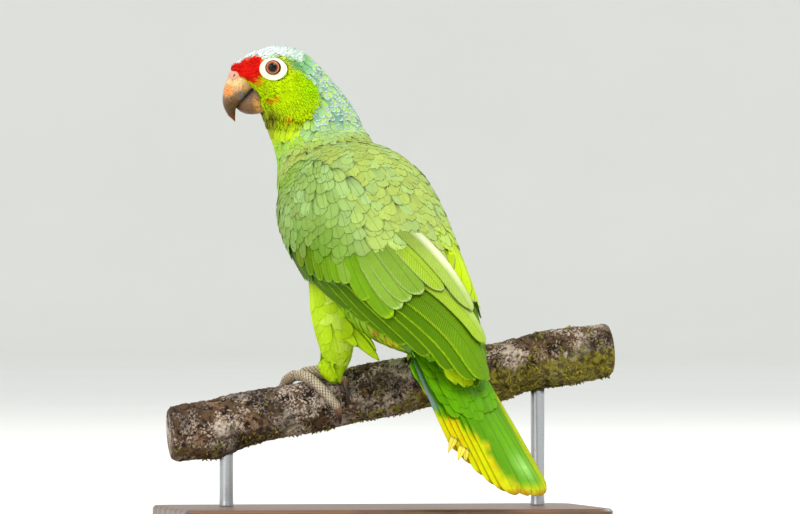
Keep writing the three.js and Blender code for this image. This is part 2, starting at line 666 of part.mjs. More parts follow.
// Toes of the left foot: along the branch (outwards is negative) and round it from the top
// towards the tail side, where each starts and ends, with its radius. The fourth and first
// come back over the near side, the second and third go over the far side.
const TOES = {
  1: { from: [-6, 16], to: [7, 56], radius: 2.5 },
  2: { from: [-13, -4], to: [-5, -84], radius: 2.7 },
  3: { from: [-17, -2], to: [-29, -88], radius: 2.9 },
  4: { from: [-17, 4], to: [0, 103], radius: 2.9 },
};
const KNUCKLE = { along: -15, angle: 0, out: 3.6 };
const CLAW_TURN = 50;
const CLAW_RISE = 1.2;

function toePoint(toe, centre, side, s) {
  const along = lerp(toe.from[0], toe.to[0], s);
  const angle = lerp(toe.from[1], toe.to[1], s);
  const bulge = 0.5 * Math.sin(Math.PI * s);
  return besidePerch(centre + side * along, angle, toe.radius + GAP + bulge);
}

function footForm(side, centre, grow = 0) {
  const knuckle = besidePerch(centre + side * KNUCKLE.along, KNUCKLE.angle, KNUCKLE.out);
  const ankle = besidePerch(centre, ANKLE_ANGLE, ANKLE_OUT - 1.5);
  const shank = limb([ankle, ankle.clone().lerp(knuckle, 0.5), knuckle], [3.4, 3.5, 3.2], 8, grow);
  const toes = Object.values(TOES).map((toe) => {
    const path = [0, 0.33, 0.67, 1].map((s) => toePoint(toe, centre, side, s));
    return limb(path, [toe.radius * 1.1, toe.radius, toe.radius * 0.95, toe.radius * 0.85], 6, grow);
  });
  return union([shank, ...toes]);
}

// A claw leaves its toe's end and hooks on round the branch, clear of it.
function clawForm(toe, centre, side) {
  const way = Math.sign(toe.to[1]);
  const points = [0, 0.5, 1].map((s) => besidePerch(
    centre + side * toe.to[0],
    toe.to[1] + way * CLAW_TURN * s,
    lerp(toe.radius, 0.9, s) + (s === 0.5 ? CLAW_RISE : 0),
  ));
  return limb(points, [1.9, 1.4, 0.45], 7);
}

// ---------------------------------------------------------------- branch and stand
const PERCH_SIDES = 14;
const PERCH_STEP = 16.25;

// The branch's uneven round: slow bulges and three old knots.
function barkRadius(u, angle) {
  const f = degToRad(angle);
  const bulge = 0.7 * Math.sin(u / 17 + 2 * f) + 0.5 * Math.sin(u / 9 - 3 * f);
  const knot = (at, turn, size) => size * Math.exp(-(((u - at) / 11) ** 2) - ((Math.cos(f - degToRad(turn)) - 1) * 3) ** 2);
  return bulge + knot(96, 150, 3.4) + knot(-70, 200, 2.6) + knot(140, 60, 2.4);
}

function perchForm(grow = 0) {
  const rings = [];
  for (let u = PERCH_START; u <= PERCH_END; u += PERCH_STEP) {
    rings.push(Array.from({ length: PERCH_SIDES }, (_, j) => {
      const angle = (360 * j) / PERCH_SIDES;
      return besidePerch(u, angle, Math.min(barkRadius(u, angle), 4) + grow - 0.4);
    }));
  }
  return skinOf(rings);
}

function baseForm() {
  const x = BASE_LENGTH / 2 - BASE_CORNER;
  const y = BASE_WIDTH / 2 - BASE_CORNER;
  const outline = new THREE.Shape();
  outline.absarc(x, y, BASE_CORNER - BASE_BEVEL, 0, Math.PI / 2);
  outline.absarc(-x, y, BASE_CORNER - BASE_BEVEL, Math.PI / 2, Math.PI);
  outline.absarc(-x, -y, BASE_CORNER - BASE_BEVEL, Math.PI, 1.5 * Math.PI);
  outline.absarc(x, -y, BASE_CORNER - BASE_BEVEL, 1.5 * Math.PI, 2 * Math.PI);
  const plate = new THREE.ExtrudeGeometry(outline, {
    depth: BASE_HEIGHT - 2 * BASE_BEVEL,
    bevelThickness: BASE_BEVEL,
    bevelSize: BASE_BEVEL,
    bevelSegments: 1,
    curveSegments: 4,
  });
  plate.translate(0, 0, BASE_BEVEL);
  plate.rotateZ(Math.atan2(PERCH_DIRECTION.y, PERCH_DIRECTION.x));
  return solidOf(plate);
}

function rodForm(u) {
  const top = perchAxis(u);
  const height = top.z - BASE_HEIGHT - GAP;
  const rod = new THREE.CylinderGeometry(ROD_RADIUS, ROD_RADIUS, height, 16).rotateX(Math.PI / 2);
  return solidOf(rod.translate(top.x, top.y, BASE_HEIGHT + GAP + height / 2));
}

// ---------------------------------------------------------------- assembly
const SIDES = { left: 1, right: -1 };
const body = bodyForm();
const bodyGrown = bodyForm(GAP);
const upperBill = billForm(UPPER_BILL);
const upperBillGrown = billForm(UPPER_BILL, GAP);
const perch = perchForm();
const perchGrown = perchForm(GAP);

const trunk = body.subtract(blockAbove(NECK_FLOOR));
addNode('torso', trunk, MATERIALS.plumage);

const neck = body.subtract(blockBelow(NECK_FLOOR + GAP)).subtract(blockAbove(HEAD_FLOOR));
addNode('neck', neck, MATERIALS.plumage);

let head = union([body, lidOf(1), lidOf(-1)])
  .subtract(blockBelow(HEAD_FLOOR + GAP))
  .subtract(eyeball(1, GAP))
  .subtract(eyeball(-1, GAP));
head = largest(head);
addNode('head', head, MATERIALS.plumage);
addNode('eye_left', eyeball(1), MATERIALS.eye);
addNode('eye_right', eyeball(-1), MATERIALS.eye);

addNode('bill_upper', upperBill.subtract(bodyGrown), MATERIALS.horn);
const lowerBill = billForm(LOWER_BILL).subtract(bodyGrown).subtract(upperBillGrown);
addNode('bill_lower', lowerBill, MATERIALS.horn);
addNode('cere', cereForm().subtract(bodyGrown).subtract(upperBillGrown), MATERIALS.skin);

const tail = tailForm().subtract(bodyGrown);
addNode('tail', tail, MATERIALS.tail);

for (const [name, side] of Object.entries(SIDES)) {
  const centre = FOOT_PLACES[name];
  const otherWing = side > 0
    ? crossingBlock(CROSSING.height + GAP / 2, CROSSING.height - CROSSING.reach)
    : crossingBlock(CROSSING.height + CROSSING.reach, CROSSING.height - GAP / 2);
  addNode(`wing_${name}`, wingForm(side).subtract(bodyGrown).subtract(otherWing), MATERIALS.wing);
  addNode(`foot_${name}`, footForm(side, centre), MATERIALS.foot);
  const footGrown = footForm(side, centre, GAP);
  const wingCutter = wingShield(side, WING_OUTLINE, WING_CLEARANCE);
  const leg = [bodyGrown, perchGrown, wingCutter, footGrown]
    .reduce((left, cutter) => left.subtract(cutter), legForm(side, centre));
  addNode(`leg_${name}`, leg, MATERIALS.plumage);
  for (const [number, toe] of Object.entries(TOES)) {
    const claw = clawForm(toe, centre, side).subtract(footGrown).subtract(perchGrown);
    addNode(`claw_${name}_${number}`, claw, MATERIALS.claw);
  }
}
addNode('perch', perch, MATERIALS.bark);
addNode('stand_base', baseForm(), MATERIALS.base);
for (const [name, along] of Object.entries(ROD_PLACES)) {
  addNode(name, rodForm(along).subtract(perchGrown), MATERIALS.rod);
}

export default nodes;
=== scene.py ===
"""A red-lored amazon parrot at life size, perched on a cut length of mossy branch.

Lengths are in millimetres, +Z up, until a mesh is written in metres. The breast faces +X and
the left wing +Y, and the head is turned to its left.
"""
import math

import bpy
import numpy as np
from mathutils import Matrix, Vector


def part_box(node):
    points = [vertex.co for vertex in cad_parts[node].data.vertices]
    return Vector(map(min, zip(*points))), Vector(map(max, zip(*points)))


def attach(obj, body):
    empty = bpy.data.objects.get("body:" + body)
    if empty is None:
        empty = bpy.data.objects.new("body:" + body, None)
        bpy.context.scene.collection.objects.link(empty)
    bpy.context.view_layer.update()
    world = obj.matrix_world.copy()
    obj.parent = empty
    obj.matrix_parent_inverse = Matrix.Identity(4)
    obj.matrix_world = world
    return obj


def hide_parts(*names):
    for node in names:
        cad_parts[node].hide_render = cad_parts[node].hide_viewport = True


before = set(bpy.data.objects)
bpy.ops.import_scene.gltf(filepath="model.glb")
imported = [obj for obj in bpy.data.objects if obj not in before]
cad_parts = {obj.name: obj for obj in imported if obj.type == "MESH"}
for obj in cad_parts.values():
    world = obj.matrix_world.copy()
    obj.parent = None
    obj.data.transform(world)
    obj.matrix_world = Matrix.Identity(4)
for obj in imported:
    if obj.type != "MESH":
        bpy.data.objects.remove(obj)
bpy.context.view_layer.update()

MM = 0.001
UP = np.array([0.0, 0.0, 1.0])


# ---- named sizes
HEAD_YAW = 64
EYES_MIDDLE = np.array([79.1, 25.7, 268.0])
HEAD_FORWARD = np.array([math.cos(math.radians(HEAD_YAW)), math.sin(math.radians(HEAD_YAW)), 0])
HEAD_LEFT = np.array([-HEAD_FORWARD[1], HEAD_FORWARD[0], 0])

# Sections of the trunk from rump to neck: x, y, z, tilt, yaw, half depth, half width.
TRUNK = [
    [-74, 0, 99, -45, 0, 8, 17],
    [-60, 0, 110, -44, 0, 17, 22],
    [-31, 0, 129, -43, 0, 31, 34],
    [-3, 0, 155, -42, 0, 38, 40],
    [22, 0, 181, -42, 0, 41, 43],
    [43, 0, 204, -34, 0, 37.5, 39],
    [57, 0, 219, -18, 10, 30.5, 31.5],
]
# Level slices of neck and head: height above the eyes, front, back, half width, yaw.
HEAD_SLICES = [
    [-36, 2.6, -57, 25, 40],
    [-27, 6, -52, 23, 55],
    [-19, 13, -47, 21.5, 64],
    [-12, 18.5, -41.5, 21, 64],
    [-4, 22, -34.5, 20, 64],
    [3, 20, -28, 18.5, 64],
    [8.5, 13, -21.5, 15, 64],
    [12, 3.5, -14.5, 9, 64],
]
CROWN_RISE = 1.3

# Sections of the surface over which the folded wings lie, from shoulders to wing tips.
MANTLE = [
    [57, 0, 219, -25, 0, 33, 34],
    [42, 0, 203, -36, 0, 41, 44],
    [22, 0, 181, -42, 0, 46, 50],
    [-3, 0, 153.5, -42, 0, 42, 47],
    [-31, 0, 128, -43, 0, 36, 40],
    [-67, 0, 99, -43, 0, 26, 26],
    [-85, 0, 83, -43, 0, 15, 20],
    [-96, 0, 73, -43, 0, 10, 13],
]
WING_PLACES = [0.75, 1.1, 1.9, 2.65, 3.4, 4.2, 4.9, 5.6, 6.3]
WING_INNER = [66, 50, 35, 21, 4, -18, -46, -60, -28]
WING_OUTER = [86, 118, 133, 137, 115, 98, 92, 76, 44]
TUCK_DEPTH, TUCK_MARGIN, TUCK_BAND = 5.6, 5, 17

EYE_RADIUS, EYE_INSET, EYE_TURN = 6.0, 15.5, 9
CORNEA = 0.035  # how much further out the cornea stands, as a share of the radius
COAT_DEPTH = 1.6  # how far the skin lies inside the solids' surface


# ---- curves and surfaces
def arrays(*values):
    """Values as float arrays of one shape."""
    return np.broadcast_arrays(*(np.asarray(v, float) for v in values))


def stack(*values):
    """Values of one shape side by side along a new last axis."""
    return np.stack(values, -1)


def circle(n, full=2 * np.pi):
    """n angles evenly round a circle."""
    return np.linspace(0, full, n, endpoint=False)


def hill(x, at, size):
    """A Gaussian of x about a place."""
    return np.exp(-(((x - at) / size) ** 2))


def blot(x, y, at_x, at_y, wide, tall):
    """A Gaussian over two directions."""
    return np.exp(-(((x - at_x) / wide) ** 2) - ((y - at_y) / tall) ** 2)


def all_of(row, n):
    """A row repeated n times."""
    return np.repeat(row[None], n, 0)


def distance(line):
    """How far along a line of points each point is."""
    return np.concatenate([[0], np.cumsum(np.linalg.norm(np.diff(line, axis=0), axis=-1))])


def from_back(angle):
    """How far round from mid-back an angle is, either way."""
    return np.abs(angle % 360 - 180)


def unit(v):
    """A vector over its length."""
    return v / np.maximum(np.linalg.norm(v, axis=-1, keepdims=True), 1e-9)


def grid(places, sides):
    """Places down the rows and angles along the columns, as two arrays."""
    return np.meshgrid(places, sides, indexing="ij")


def dot(a, b):
    """The sum of products along the last axis."""
    return (a * b).sum(-1)


def smooth(table, t):
    """A uniform Catmull-Rom curve through the rows of a table, run out straight at its ends."""
    table = np.asarray(table, float)
    ends = np.vstack([2 * table[:1] - table[1:2], table, 2 * table[-1:] - table[-2:-1]])
    t = np.clip(np.asarray(t, float), 0, len(table) - 1)
    k = np.minimum(t.astype(int), len(table) - 2)
    f = (t - k)[..., None]
    a, b, c, d = (ends[k + i] for i in range(4))
    return 0.5 * (2 * b + (c - a) * f + (2 * a - 5 * b + 4 * c - d) * f**2
                  + (3 * b - a - 3 * c + d) * f**3)


def step(x, low, high):
    """Hermite step: 3u^2 - 2u^3 of x run from low to high."""
    u = np.clip((np.asarray(x, float) - low) / (high - low), 0, 1)
    return u * u * (3 - 2 * u)


def ripple(points, size, seed):
    """Smooth noise, about -1 to 1: the sum of eight sine waves near one wavelength, in directions
    that the seed fixes."""
    waves = 8
    rng = np.random.default_rng(seed)
    ways = unit(rng.normal(size=(waves, 3))) / (size * rng.uniform(0.7, 1.5, (waves, 1)))
    return np.sin(points @ ways.T * 2 * np.pi + rng.uniform(0, 6.28, waves)).sum(-1) / waves**0.5


def head_point(forward, left, up):
    """A point in the head's own frame, measured from midway between the eyes."""
    parts = arrays(forward, left, up)
    return EYES_MIDDLE + sum(v[..., None] * axis
                             for v, axis in zip(parts, (HEAD_FORWARD, HEAD_LEFT, UP)))


def in_head(points):
    """Forward, left and up of points in the head's own frame."""
    d = points - EYES_MIDDLE
    return dot(d, HEAD_FORWARD), dot(d, HEAD_LEFT), d[..., 2]


BODY = np.array(TRUNK + [
    [*head_point((front + back) / 2, 0, up), 0, yaw, (front - back) / 2, half]
    for up, front, back, half, yaw in HEAD_SLICES
], float)
BODY_END = len(BODY) - 1
BODY_TOP = BODY_END + 1  # the crown's pole


def oval(table, t, angle, lift, shrink=1.0):
    """A point of an oval section: its middle, plus its half depth times the cosine of the angle
    along the tilted front axis, plus its half width times the sine along the left axis."""
    t, angle, lift = arrays(t, angle, lift)
    x, y, z, tilt, yaw, a, b = np.moveaxis(smooth(table, t), -1, 0)
    tilt, yaw, f = np.radians(tilt), np.radians(yaw), np.radians(angle)
    front = stack(np.cos(tilt) * np.cos(yaw), np.cos(tilt) * np.sin(yaw), np.sin(tilt))
    left = stack(-np.sin(yaw), np.cos(yaw), 0 * yaw)
    across = ((a + lift) * shrink * np.cos(f))[..., None] * front
    return (stack(x, y, z) + across
            + ((b + lift) * shrink * np.sin(f))[..., None] * left)


def body_point(t, angle, lift=0.0):
    """Trunk, neck and head: the oval at place t, which past the last section shrinks to the
    crown's pole while it rises, and before the first shrinks to the rump's; a hollow runs over
    the back where the neck meets the shoulders."""
    t, angle, lift = arrays(t, angle, lift)
    top = np.clip(t - BODY_END, 0, 1)
    rump = np.clip(-t, 0, 1)
    hollow = 4.6 * hill(t, 5.5, 0.72) * step(from_back(angle), 100, 62)
    point = oval(BODY, t, angle, lift - hollow, 1 - top - rump)
    point = point + ((CROWN_RISE + lift) * (1 - (1 - top) ** 2) * (top > 0))[..., None] * UP
    point = point - (lift * rump)[..., None] * np.array([0.7, 0, 0.7])
    # the face sinks round the bill's root, and the forehead stands out over the cere
    forward, _, up = in_head(point)
    seat = (5.2 * hill(up, -14.5, 6) * step(forward, 1, 12)
            - 1.8 * hill(up, -0.3, 3.2) * step(forward, 13, 20))
    return point - seat[..., None] * HEAD_FORWARD


def wing_edges(t):
    """The angles of the wing's inner and outer edge at a place."""
    return np.interp(t, WING_PLACES, WING_INNER), np.interp(t, WING_PLACES, WING_OUTER)


def tuck(t, angle, side):
    """How far the right wing sinks where the left one covers it: full depth inside an edge
    that follows the left wing's inner edge, easing to none over a band, and a little by the
    shoulder."""
    if side > 0:
        return 0.0
    edge = TUCK_MARGIN - wing_edges(t)[0]
    return np.maximum(TUCK_DEPTH * (1 - step(angle - edge, 0, TUCK_BAND)), 2.8 * hill(t, 1.8, 0.75))


def mantle_of(side, tucked=True):
    """The wings' surface: an oval section at an angle from mid-back towards one side."""
    def surface(t, angle, lift=0.0):
        drop = tuck(t, angle, side) if tucked else 0.0
        return oval(MANTLE, t, 180 - side * np.asarray(angle, float), lift - drop)
    return surface


# ---- colours
def rgb(*srgb):
    """Linear light from 8-bit sRGB numbers, by the standard curve."""
    c = np.asarray(srgb, float) / 255
    return np.where(c <= 0.04045, c / 12.92, ((c + 0.055) / 1.055) ** 2.4)


def blend(a, b, mask):
    """Colours a and b mixed by a mask."""
    mask = np.asarray(mask)[..., None]
    return a * (1 - mask) + b * mask


RED = rgb(240, 26, 14)
RED_DEEP = rgb(186, 8, 6)
ORANGE = rgb(240, 150, 20)
CROWN = rgb(240, 246, 246)
CROWN_LILAC = rgb(206, 208, 226)
CROWN_TEAL = rgb(156, 206, 168)
CROWN_GREEN = rgb(170, 212, 132)
LILAC = rgb(188, 198, 206)
BROW_GREEN = rgb(134, 190, 96)
BROW_TEAL = rgb(116, 180, 124)
BROW_LIME = rgb(214, 222, 24)
CHEEK = rgb(200, 236, 0)
CHEEK_BACK = rgb(168, 228, 2)
CHEEK_LOW = rgb(190, 218, 8)
CHEEK_DARK = rgb(140, 180, 2)
THROAT = rgb(176, 196, 18)
CHIN = rgb(84, 62, 16)
NAPE = rgb(166, 206, 96)
NAPE_MINT = rgb(150, 194, 140)
NAPE_TEAL = rgb(110, 160, 132)
NECK_PALE = rgb(170, 202, 120)
NECK_MINT = rgb(152, 188, 134)
NECK_FRONT = rgb(164, 212, 60)
NECK_RIM = rgb(196, 218, 166)
BREAST = rgb(124, 190, 24)
BELLY = rgb(148, 196, 36)
BACK = rgb(160, 180, 86)
BACK_MINT = rgb(156, 184, 106)
BACK_RIM = rgb(184, 202, 132)
RUMP = rgb(124, 184, 28)
THIGH = rgb(186, 222, 34)
# painted highlight on the upper thigh
THIGH_HIGHLIGHT = rgb(212, 236, 96)
THIGH_LOW = rgb(172, 204, 16)
THIGH_RIM = rgb(204, 226, 80)
VENT = rgb(122, 214, 12)
VENT_YELLOW = rgb(226, 214, 40)
VENT_RED = rgb(206, 84, 30)
WRIST = rgb(138, 176, 62)
CORE_GREEN = rgb(96, 140, 40)
LESSER = rgb(140, 170, 86)
LESSER_MINT = rgb(150, 184, 110)
MEDIAN = rgb(94, 138, 14)
MEDIAN_GREY = rgb(106, 148, 36)
EDGE_GREEN = rgb(96, 162, 18)
EDGE_DARK = rgb(74, 108, 14)
GREATER = rgb(98, 136, 8)
GREATER_OLIVE = rgb(112, 132, 20)
GREATER_GREEN = rgb(108, 152, 20)
GREATER_GREY = rgb(122, 158, 50)
FLIGHT = rgb(78, 118, 2)
FLIGHT_TOP = rgb(106, 150, 16)
LIME_RIM = rgb(150, 190, 20)
PALE_RIM = rgb(166, 190, 104)
YELLOW_TIP = rgb(206, 206, 84)
# painted highlight along the tertials' inner edge
TERTIAL_HIGHLIGHT = rgb(244, 248, 206)
SCAPULAR = rgb(162, 186, 94)
SCAPULAR_MINT = rgb(160, 192, 118)
TERTIAL = rgb(158, 186, 74)
TERTIAL_LIME = rgb(154, 186, 48)
# painted light: the right wing's feathers in a lighter lime than the same feathers of the left wing, for the
# brighter light on that side
RIGHT_WING_LIT = rgb(184, 214, 16)
TAIL = rgb(88, 148, 2)
TAIL_TEAL = rgb(146, 200, 96)
TAIL_BRIGHT = rgb(94, 156, 4)
TAIL_DARK = rgb(76, 134, 4)
TAIL_GOLD = rgb(204, 172, 2)
TAIL_YELLOW = rgb(196, 200, 2)
TAIL_BLUE = rgb(120, 136, 146)
TAIL_TIP = rgb(190, 206, 20)
TAIL_FRAY = rgb(224, 206, 70)
TAIL_BROWN = rgb(150, 92, 14)


def polyline(x, *pairs):
    """A value on straight stretches through (x, value) pairs."""
    xs, ys = zip(*sorted(pairs))
    return np.interp(x, xs, ys)


def in_profile(points):
    """Forward, left and up in the head's frame, with forward as it looks from the side that
    the head turns a little away from: points near the middle plane count as further forward."""
    f, left, up = in_head(points)
    return f + 2.5 - 0.14 * np.abs(left), left, up


def cheek_back(up):
    """How far forward the cheek's back edge, and above it the crown's, lies."""
    return polyline(up, (-34, -15), (-29, -20), (-24.5, -22.5), (-19.6, -25.8), (-12, -26),
                    (-6.3, -23), (-1.5, -17), (3, -14), (9, -15), (13, -17))


def crown_low(f):
    """The height of the crown's lower edge."""
    return polyline(f, (-30, -9), (-24, -3), (-18, 2), (-13.3, 4.6), (-8.4, 6.6), (0, 7.2), (4, 6.6),
                    (7.6, 4.8), (9, 4.4), (14, 6), (18, 4), (21, 2.6), (30, 0))


def head_markings(points):
    """Tint, rim colour and rim strength on head and neck: soft masks of places in the head's
    frame, blended in turn from the neck up."""
    f, left, up = in_profile(points)
    n1 = ripple(points, 7, 11)
    n2 = ripple(points, 3.2, 12)
    n3 = ripple(points, 5, 13)
    fuzz = 0.8 * n1 + 0.5 * n2
    # neck and nape
    tint = blend(NECK_FRONT, NECK_PALE, step(-f + 0.25 * up + 2 * n1, 8, 28))
    tint = blend(tint, NECK_MINT, 0.8 * step(n1, 0.0, 0.9) * step(-f, 8, 24))
    high = step(up + 2 * n1, -38, -24)
    nape = blend(NAPE, NAPE_MINT, step(n3, -0.3, 0.5))
    # painted shadow: a dark teal patch low on the nape, where shade falls; the teal patches set by noise are
    # the feathers' own
    nape_shadow = blot(f, up, -36, -27, 5, 6)
    nape = blend(nape, NAPE_TEAL, np.maximum(step(n1 + 0.6 * n2, 0.3, 1.0), 1.4 * nape_shadow).clip(0, 1))
    tint = blend(tint, nape, high)
    rim = blend(NECK_RIM, LILAC, high)
    strength = 0.4 + 0.55 * high
    # crown
    behind = step(-f + cheek_back(up), -1, 1)
    crown = step(up + 0.5 * fuzz, crown_low(f) - 1.0, crown_low(f) + 1.2) * (1 - behind)
    top = blend(CROWN_TEAL, CROWN_GREEN, step(n3, 0, 0.8))
    top = blend(top, CROWN, 0.25 + 0.6 * step(f + 3 * n2, -12, 2))
    tint = blend(tint, top, crown)
    rim = blend(rim, blend(CROWN, CROWN_LILAC, step(n2, 0, 0.8)), crown)
    brow = (step(up, -3, 1) * (1 - crown) * step(f, -20, -15))
    tint = blend(tint, blend(BROW_GREEN, BROW_TEAL, step(-f + 2 * n2, 6, 15)), brow)
    rim = blend(rim, BROW_GREEN, brow)
    # cheek
    cheek_top = polyline(f, (-26, -7), (-18, -1.6), (-8.4, 0.4), (0, 1), (9, -4.2), (30, -6))
    cheek = (step(f + 1.0 * fuzz, cheek_back(up) - 1, cheek_back(up) + 1.5)
             * (1 - step(up + 0.5 * fuzz, cheek_top - 0.6, cheek_top + 1)) * step(up, -40, -31))
    cheek_tint = blend(CHEEK, CHEEK_BACK, step(-f + 2 * n1, 8, 24))
    cheek_tint = blend(cheek_tint, CHEEK_LOW, step(-up - 0.4 * f + 3 * n1, 20, 36))
    cheek_tint = blend(cheek_tint, CHEEK_DARK, 0.35 * step(n2 + 0.5 * n3, 0.5, 1.5))
    tint = blend(tint, cheek_tint, cheek)
    rim = blend(rim, CHEEK_DARK, cheek)
    strength = strength * (1 - 0.9 * cheek)
    # throat and chin
    throat = step(f + 0.35 * (up + 30) + fuzz, -4, 3) * (1 - step(up, -27, -22)) * step(up, -62, -46)
    tint = blend(tint, THROAT, 0.85 * throat)
    chin = blot(f, up, 3.5, -28, 5.5, 4.4)
    tint = blend(tint, CHIN, np.clip(1.2 * chin * (0.8 + 0.3 * n2), 0, 0.9))
    # yellow line round the back of the eye ring
    ring = np.hypot(f / 8.6, (up + 1.2) / 7.4)
    lime = hill(ring, 1.08, 0.12) * step(up - 0.4 * f, -1, 3) * step(-f, -4, 1)
    tint = blend(tint, BROW_LIME, np.clip(1.2 * lime, 0, 0.9))
    # red forehead and lores
    red_top = polyline(f, (8.5, 2.6), (9.5, 3.9), (11.5, 5.8), (14.4, 5.9), (18.3, 3.9), (21.2, 2.9),
                       (27, 1))
    red_low = polyline(f, (8.5, -4), (9.6, -5), (11.5, -5.7), (14.4, -9.1), (17.8, -6.9), (20.7, -4.5),
                       (28, -4))
    red = (step(f + 0.3 * fuzz, 8.0, 9.2) * (1 - step(up + 0.6 * fuzz, red_top - 0.4, red_top + 0.9))
           * step(up + 0.4 * fuzz, red_low - 0.6, red_low + 0.6))
    tint = blend(tint, blend(RED, RED_DEEP, 0.5 * step(n2, 0.2, 1.3)), red)
    rim = blend(rim, RED, red)
    strength = strength * (1 - 0.9 * red)
    # orange flecks
    for at_f, at_up, wide, tall, colour, on in (
        (11.6, -8, 2.2, 1.9, ORANGE, 0.9), (4.2, -18.4, 2.4, 0.8, ORANGE, 1.0),
        (1.2, -17.2, 1.5, 1.1, rgb(230, 116, 16), 1.0), (-8, -28.4, 2.0, 1.6, rgb(240, 74, 20), 1.0),
        (-9, -27.2, 1.3, 1.0, ORANGE, 0.7),
    ):
        spot = blot(f, up, at_f, at_up, wide, tall) * (left > 0)
        tint = blend(tint, colour, np.clip(1.5 * spot, 0, 1) * on)
    return tint, rim, strength


def trunk_markings(points, t, angle):
    """Tint, rim colour and rim strength on the trunk, by place t and the angle from the breast."""
    n1 = ripple(points, 14, 21)
    back = step(from_back(angle), 128, 92)
    tint = blend(BREAST, BELLY, step(t + 0.4 * n1, 4.6, 2.4))
    tint = blend(tint, NECK_FRONT, step(t + 0.3 * n1, 5.6, 7))
    n2 = ripple(points, 8, 22)
    back_tint = blend(blend(BACK, BACK_MINT, step(n1 + 0.5 * n2, 0, 1)), RUMP, step(t + 0.2 * n1, 2.4, 1.2))
    tint = blend(tint, back_tint, back)
    tint = blend(tint, VENT, step(t, 1.1, 0.4) * (1 - back))
    # red and yellow flecks beside the vent
    across, up = points @ np.array([-0.559, -0.829, 0]), points[..., 2]
    for at, high, wide, tall, colour in ((0.7, 110, 5, 3.4, VENT_YELLOW), (-8, 118.5, 3.6, 3, VENT_RED)):
        spot = blot(across, up, at, high, wide, tall) * step(points[..., 1], 2, 8)
        tint = blend(tint, colour, np.clip(1.4 * spot, 0, 1) * 0.9)
    rim = blend(rgb(170, 222, 50), BACK_RIM, back)
    strength = 0.6 - 0.2 * back
    return tint, rim, strength


def body_markings(points, t, angle):
    """The trunk's markings below the neck and the head's above, eased between."""
    low, high = trunk_markings(points, t, angle), head_markings(points)
    up_neck = step(t + 0.15 * ripple(points, 9, 5), 6.2, 7.3)
    return (blend(low[0], high[0], up_neck), blend(low[1], high[1], up_neck),
            low[2] * (1 - up_neck) + high[2] * up_neck)


# ---- meshes
def placed(name, data):
    """A new object in the scene, with a mesh, a lamp or a camera."""
    made = bpy.data.objects.new(name, data)
    bpy.context.scene.collection.objects.link(made)
    return made


def mesh_of(name, points, faces, attributes=None, uv=None):
    """A smooth-shaded mesh in metres from points in millimetres and faces of one kind."""
    mesh = bpy.data.meshes.new(name)
    points = np.asarray(points, float).reshape(-1, 3)
    loops = np.concatenate([f.ravel() for f in faces])
    sizes = np.concatenate([np.full(len(f), f.shape[1]) for f in faces])
    mesh.vertices.add(len(points))
    mesh.vertices.foreach_set("co", (points * MM).astype(np.float32).ravel())
    mesh.loops.add(len(loops))
    mesh.loops.foreach_set("vertex_index", loops.astype(np.int32))
    mesh.polygons.add(len(sizes))
    mesh.polygons.foreach_set("loop_start", (np.cumsum(sizes) - sizes).astype(np.int32))
    mesh.polygons.foreach_set("use_smooth", np.ones(len(sizes), bool))
    mesh.update(calc_edges=True)
    for key, values in (attributes or {}).items():
        width = {1: "FLOAT", 3: "FLOAT_VECTOR", 4: "FLOAT_COLOR"}[values.shape[-1]]
        field = {1: "value", 3: "vector", 4: "color"}[values.shape[-1]]
        layer = mesh.attributes.new(key, width, "POINT")
        layer.data.foreach_set(field, values.astype(np.float32).ravel())
    if uv is not None:
        mesh.uv_layers.new(name="OFBake").data.foreach_set("uv", uv[loops].astype(np.float32).ravel())
    return mesh


def make_piece(name, surface, material, replaces=(), marks=None, mapped=False):
    """Puts a surface (points, faces, place) in the scene as a piece that rides on the model; if
    mapped, the places become its map."""
    points, faces, place = surface
    mesh = mesh_of(name, points, faces, marks, place if mapped else None)
    mesh.materials.append(material)
    piece = placed(name, mesh)
    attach(piece, "root")
    if replaces:
        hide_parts(*replaces)


def outward(points, faces):
    """The faces of a closed surface, turned over if its signed volume is below zero."""
    tris = np.concatenate([stack(f[:, 0], f[:, i], f[:, i + 1])
                           for f in faces for i in range(1, f.shape[1] - 1)])
    a, b, c = (points[tris[:, i]] for i in range(3))
    return faces if dot(a, np.cross(b, c)).sum() > 0 else [f[:, ::-1] for f in faces]


def quads_of(index):
    """The quads of a grid of corner numbers that is joined round its columns."""
    turned = np.roll(index, -1, axis=1)
    return stack(index[:-1], turned[:-1], turned[1:], index[1:]).reshape(-1, 4)


def shell(rings, start=None, end=None):
    """A closed surface: rings (rows, sides, 3) joined round and along, with a fan to a pole at
    each end (the ring's middle unless given). Returns points, faces and each point's (u, v)."""
    rows, sides = rings.shape[:2]
    index = np.arange(rows * sides).reshape(rows, sides)
    turned = np.roll(index, -1, axis=1)
    poles = [rings[0].mean(0) if start is None else start, rings[-1].mean(0) if end is None else end]
    points = np.vstack([rings.reshape(-1, 3), poles])
    low, high = rows * sides, rows * sides + 1
    fans = np.vstack([
        stack(np.full(sides, low), turned[0], index[0]),
        stack(np.full(sides, high), index[-1], turned[-1]),
    ])
    u, v = np.meshgrid(np.arange(sides) / sides, np.linspace(0.02, 0.98, rows))
    place = np.vstack([stack(u, v).reshape(-1, 2), [[0.5, 0], [0.5, 1]]])
    return points, outward(points, [quads_of(index), fans]), place


def merged(parts):
    """Several (points, faces, place) surfaces as one."""
    points, quads, tris, places, base = [], [], [], [], 0
    for p, faces, place in parts:
        points.append(p)
        places.append(place)
        for f in faces:
            (quads if f.shape[1] == 4 else tris).append(f + base)
        base += len(p)
    return (np.vstack(points), [np.vstack(f) for f in (quads, tris) if f], np.vstack(places))


# ---- feathers
UNEVEN = 0.04  # how far small feathers stand above or below their neighbours, at random
PATCH = 0.003  # a feather's size on the coat's map


def per_feather(value, n):
    """A value, or n values, as (n, 1, 1)."""
    return np.broadcast_to(np.asarray(value, float), (n,))[:, None, None]


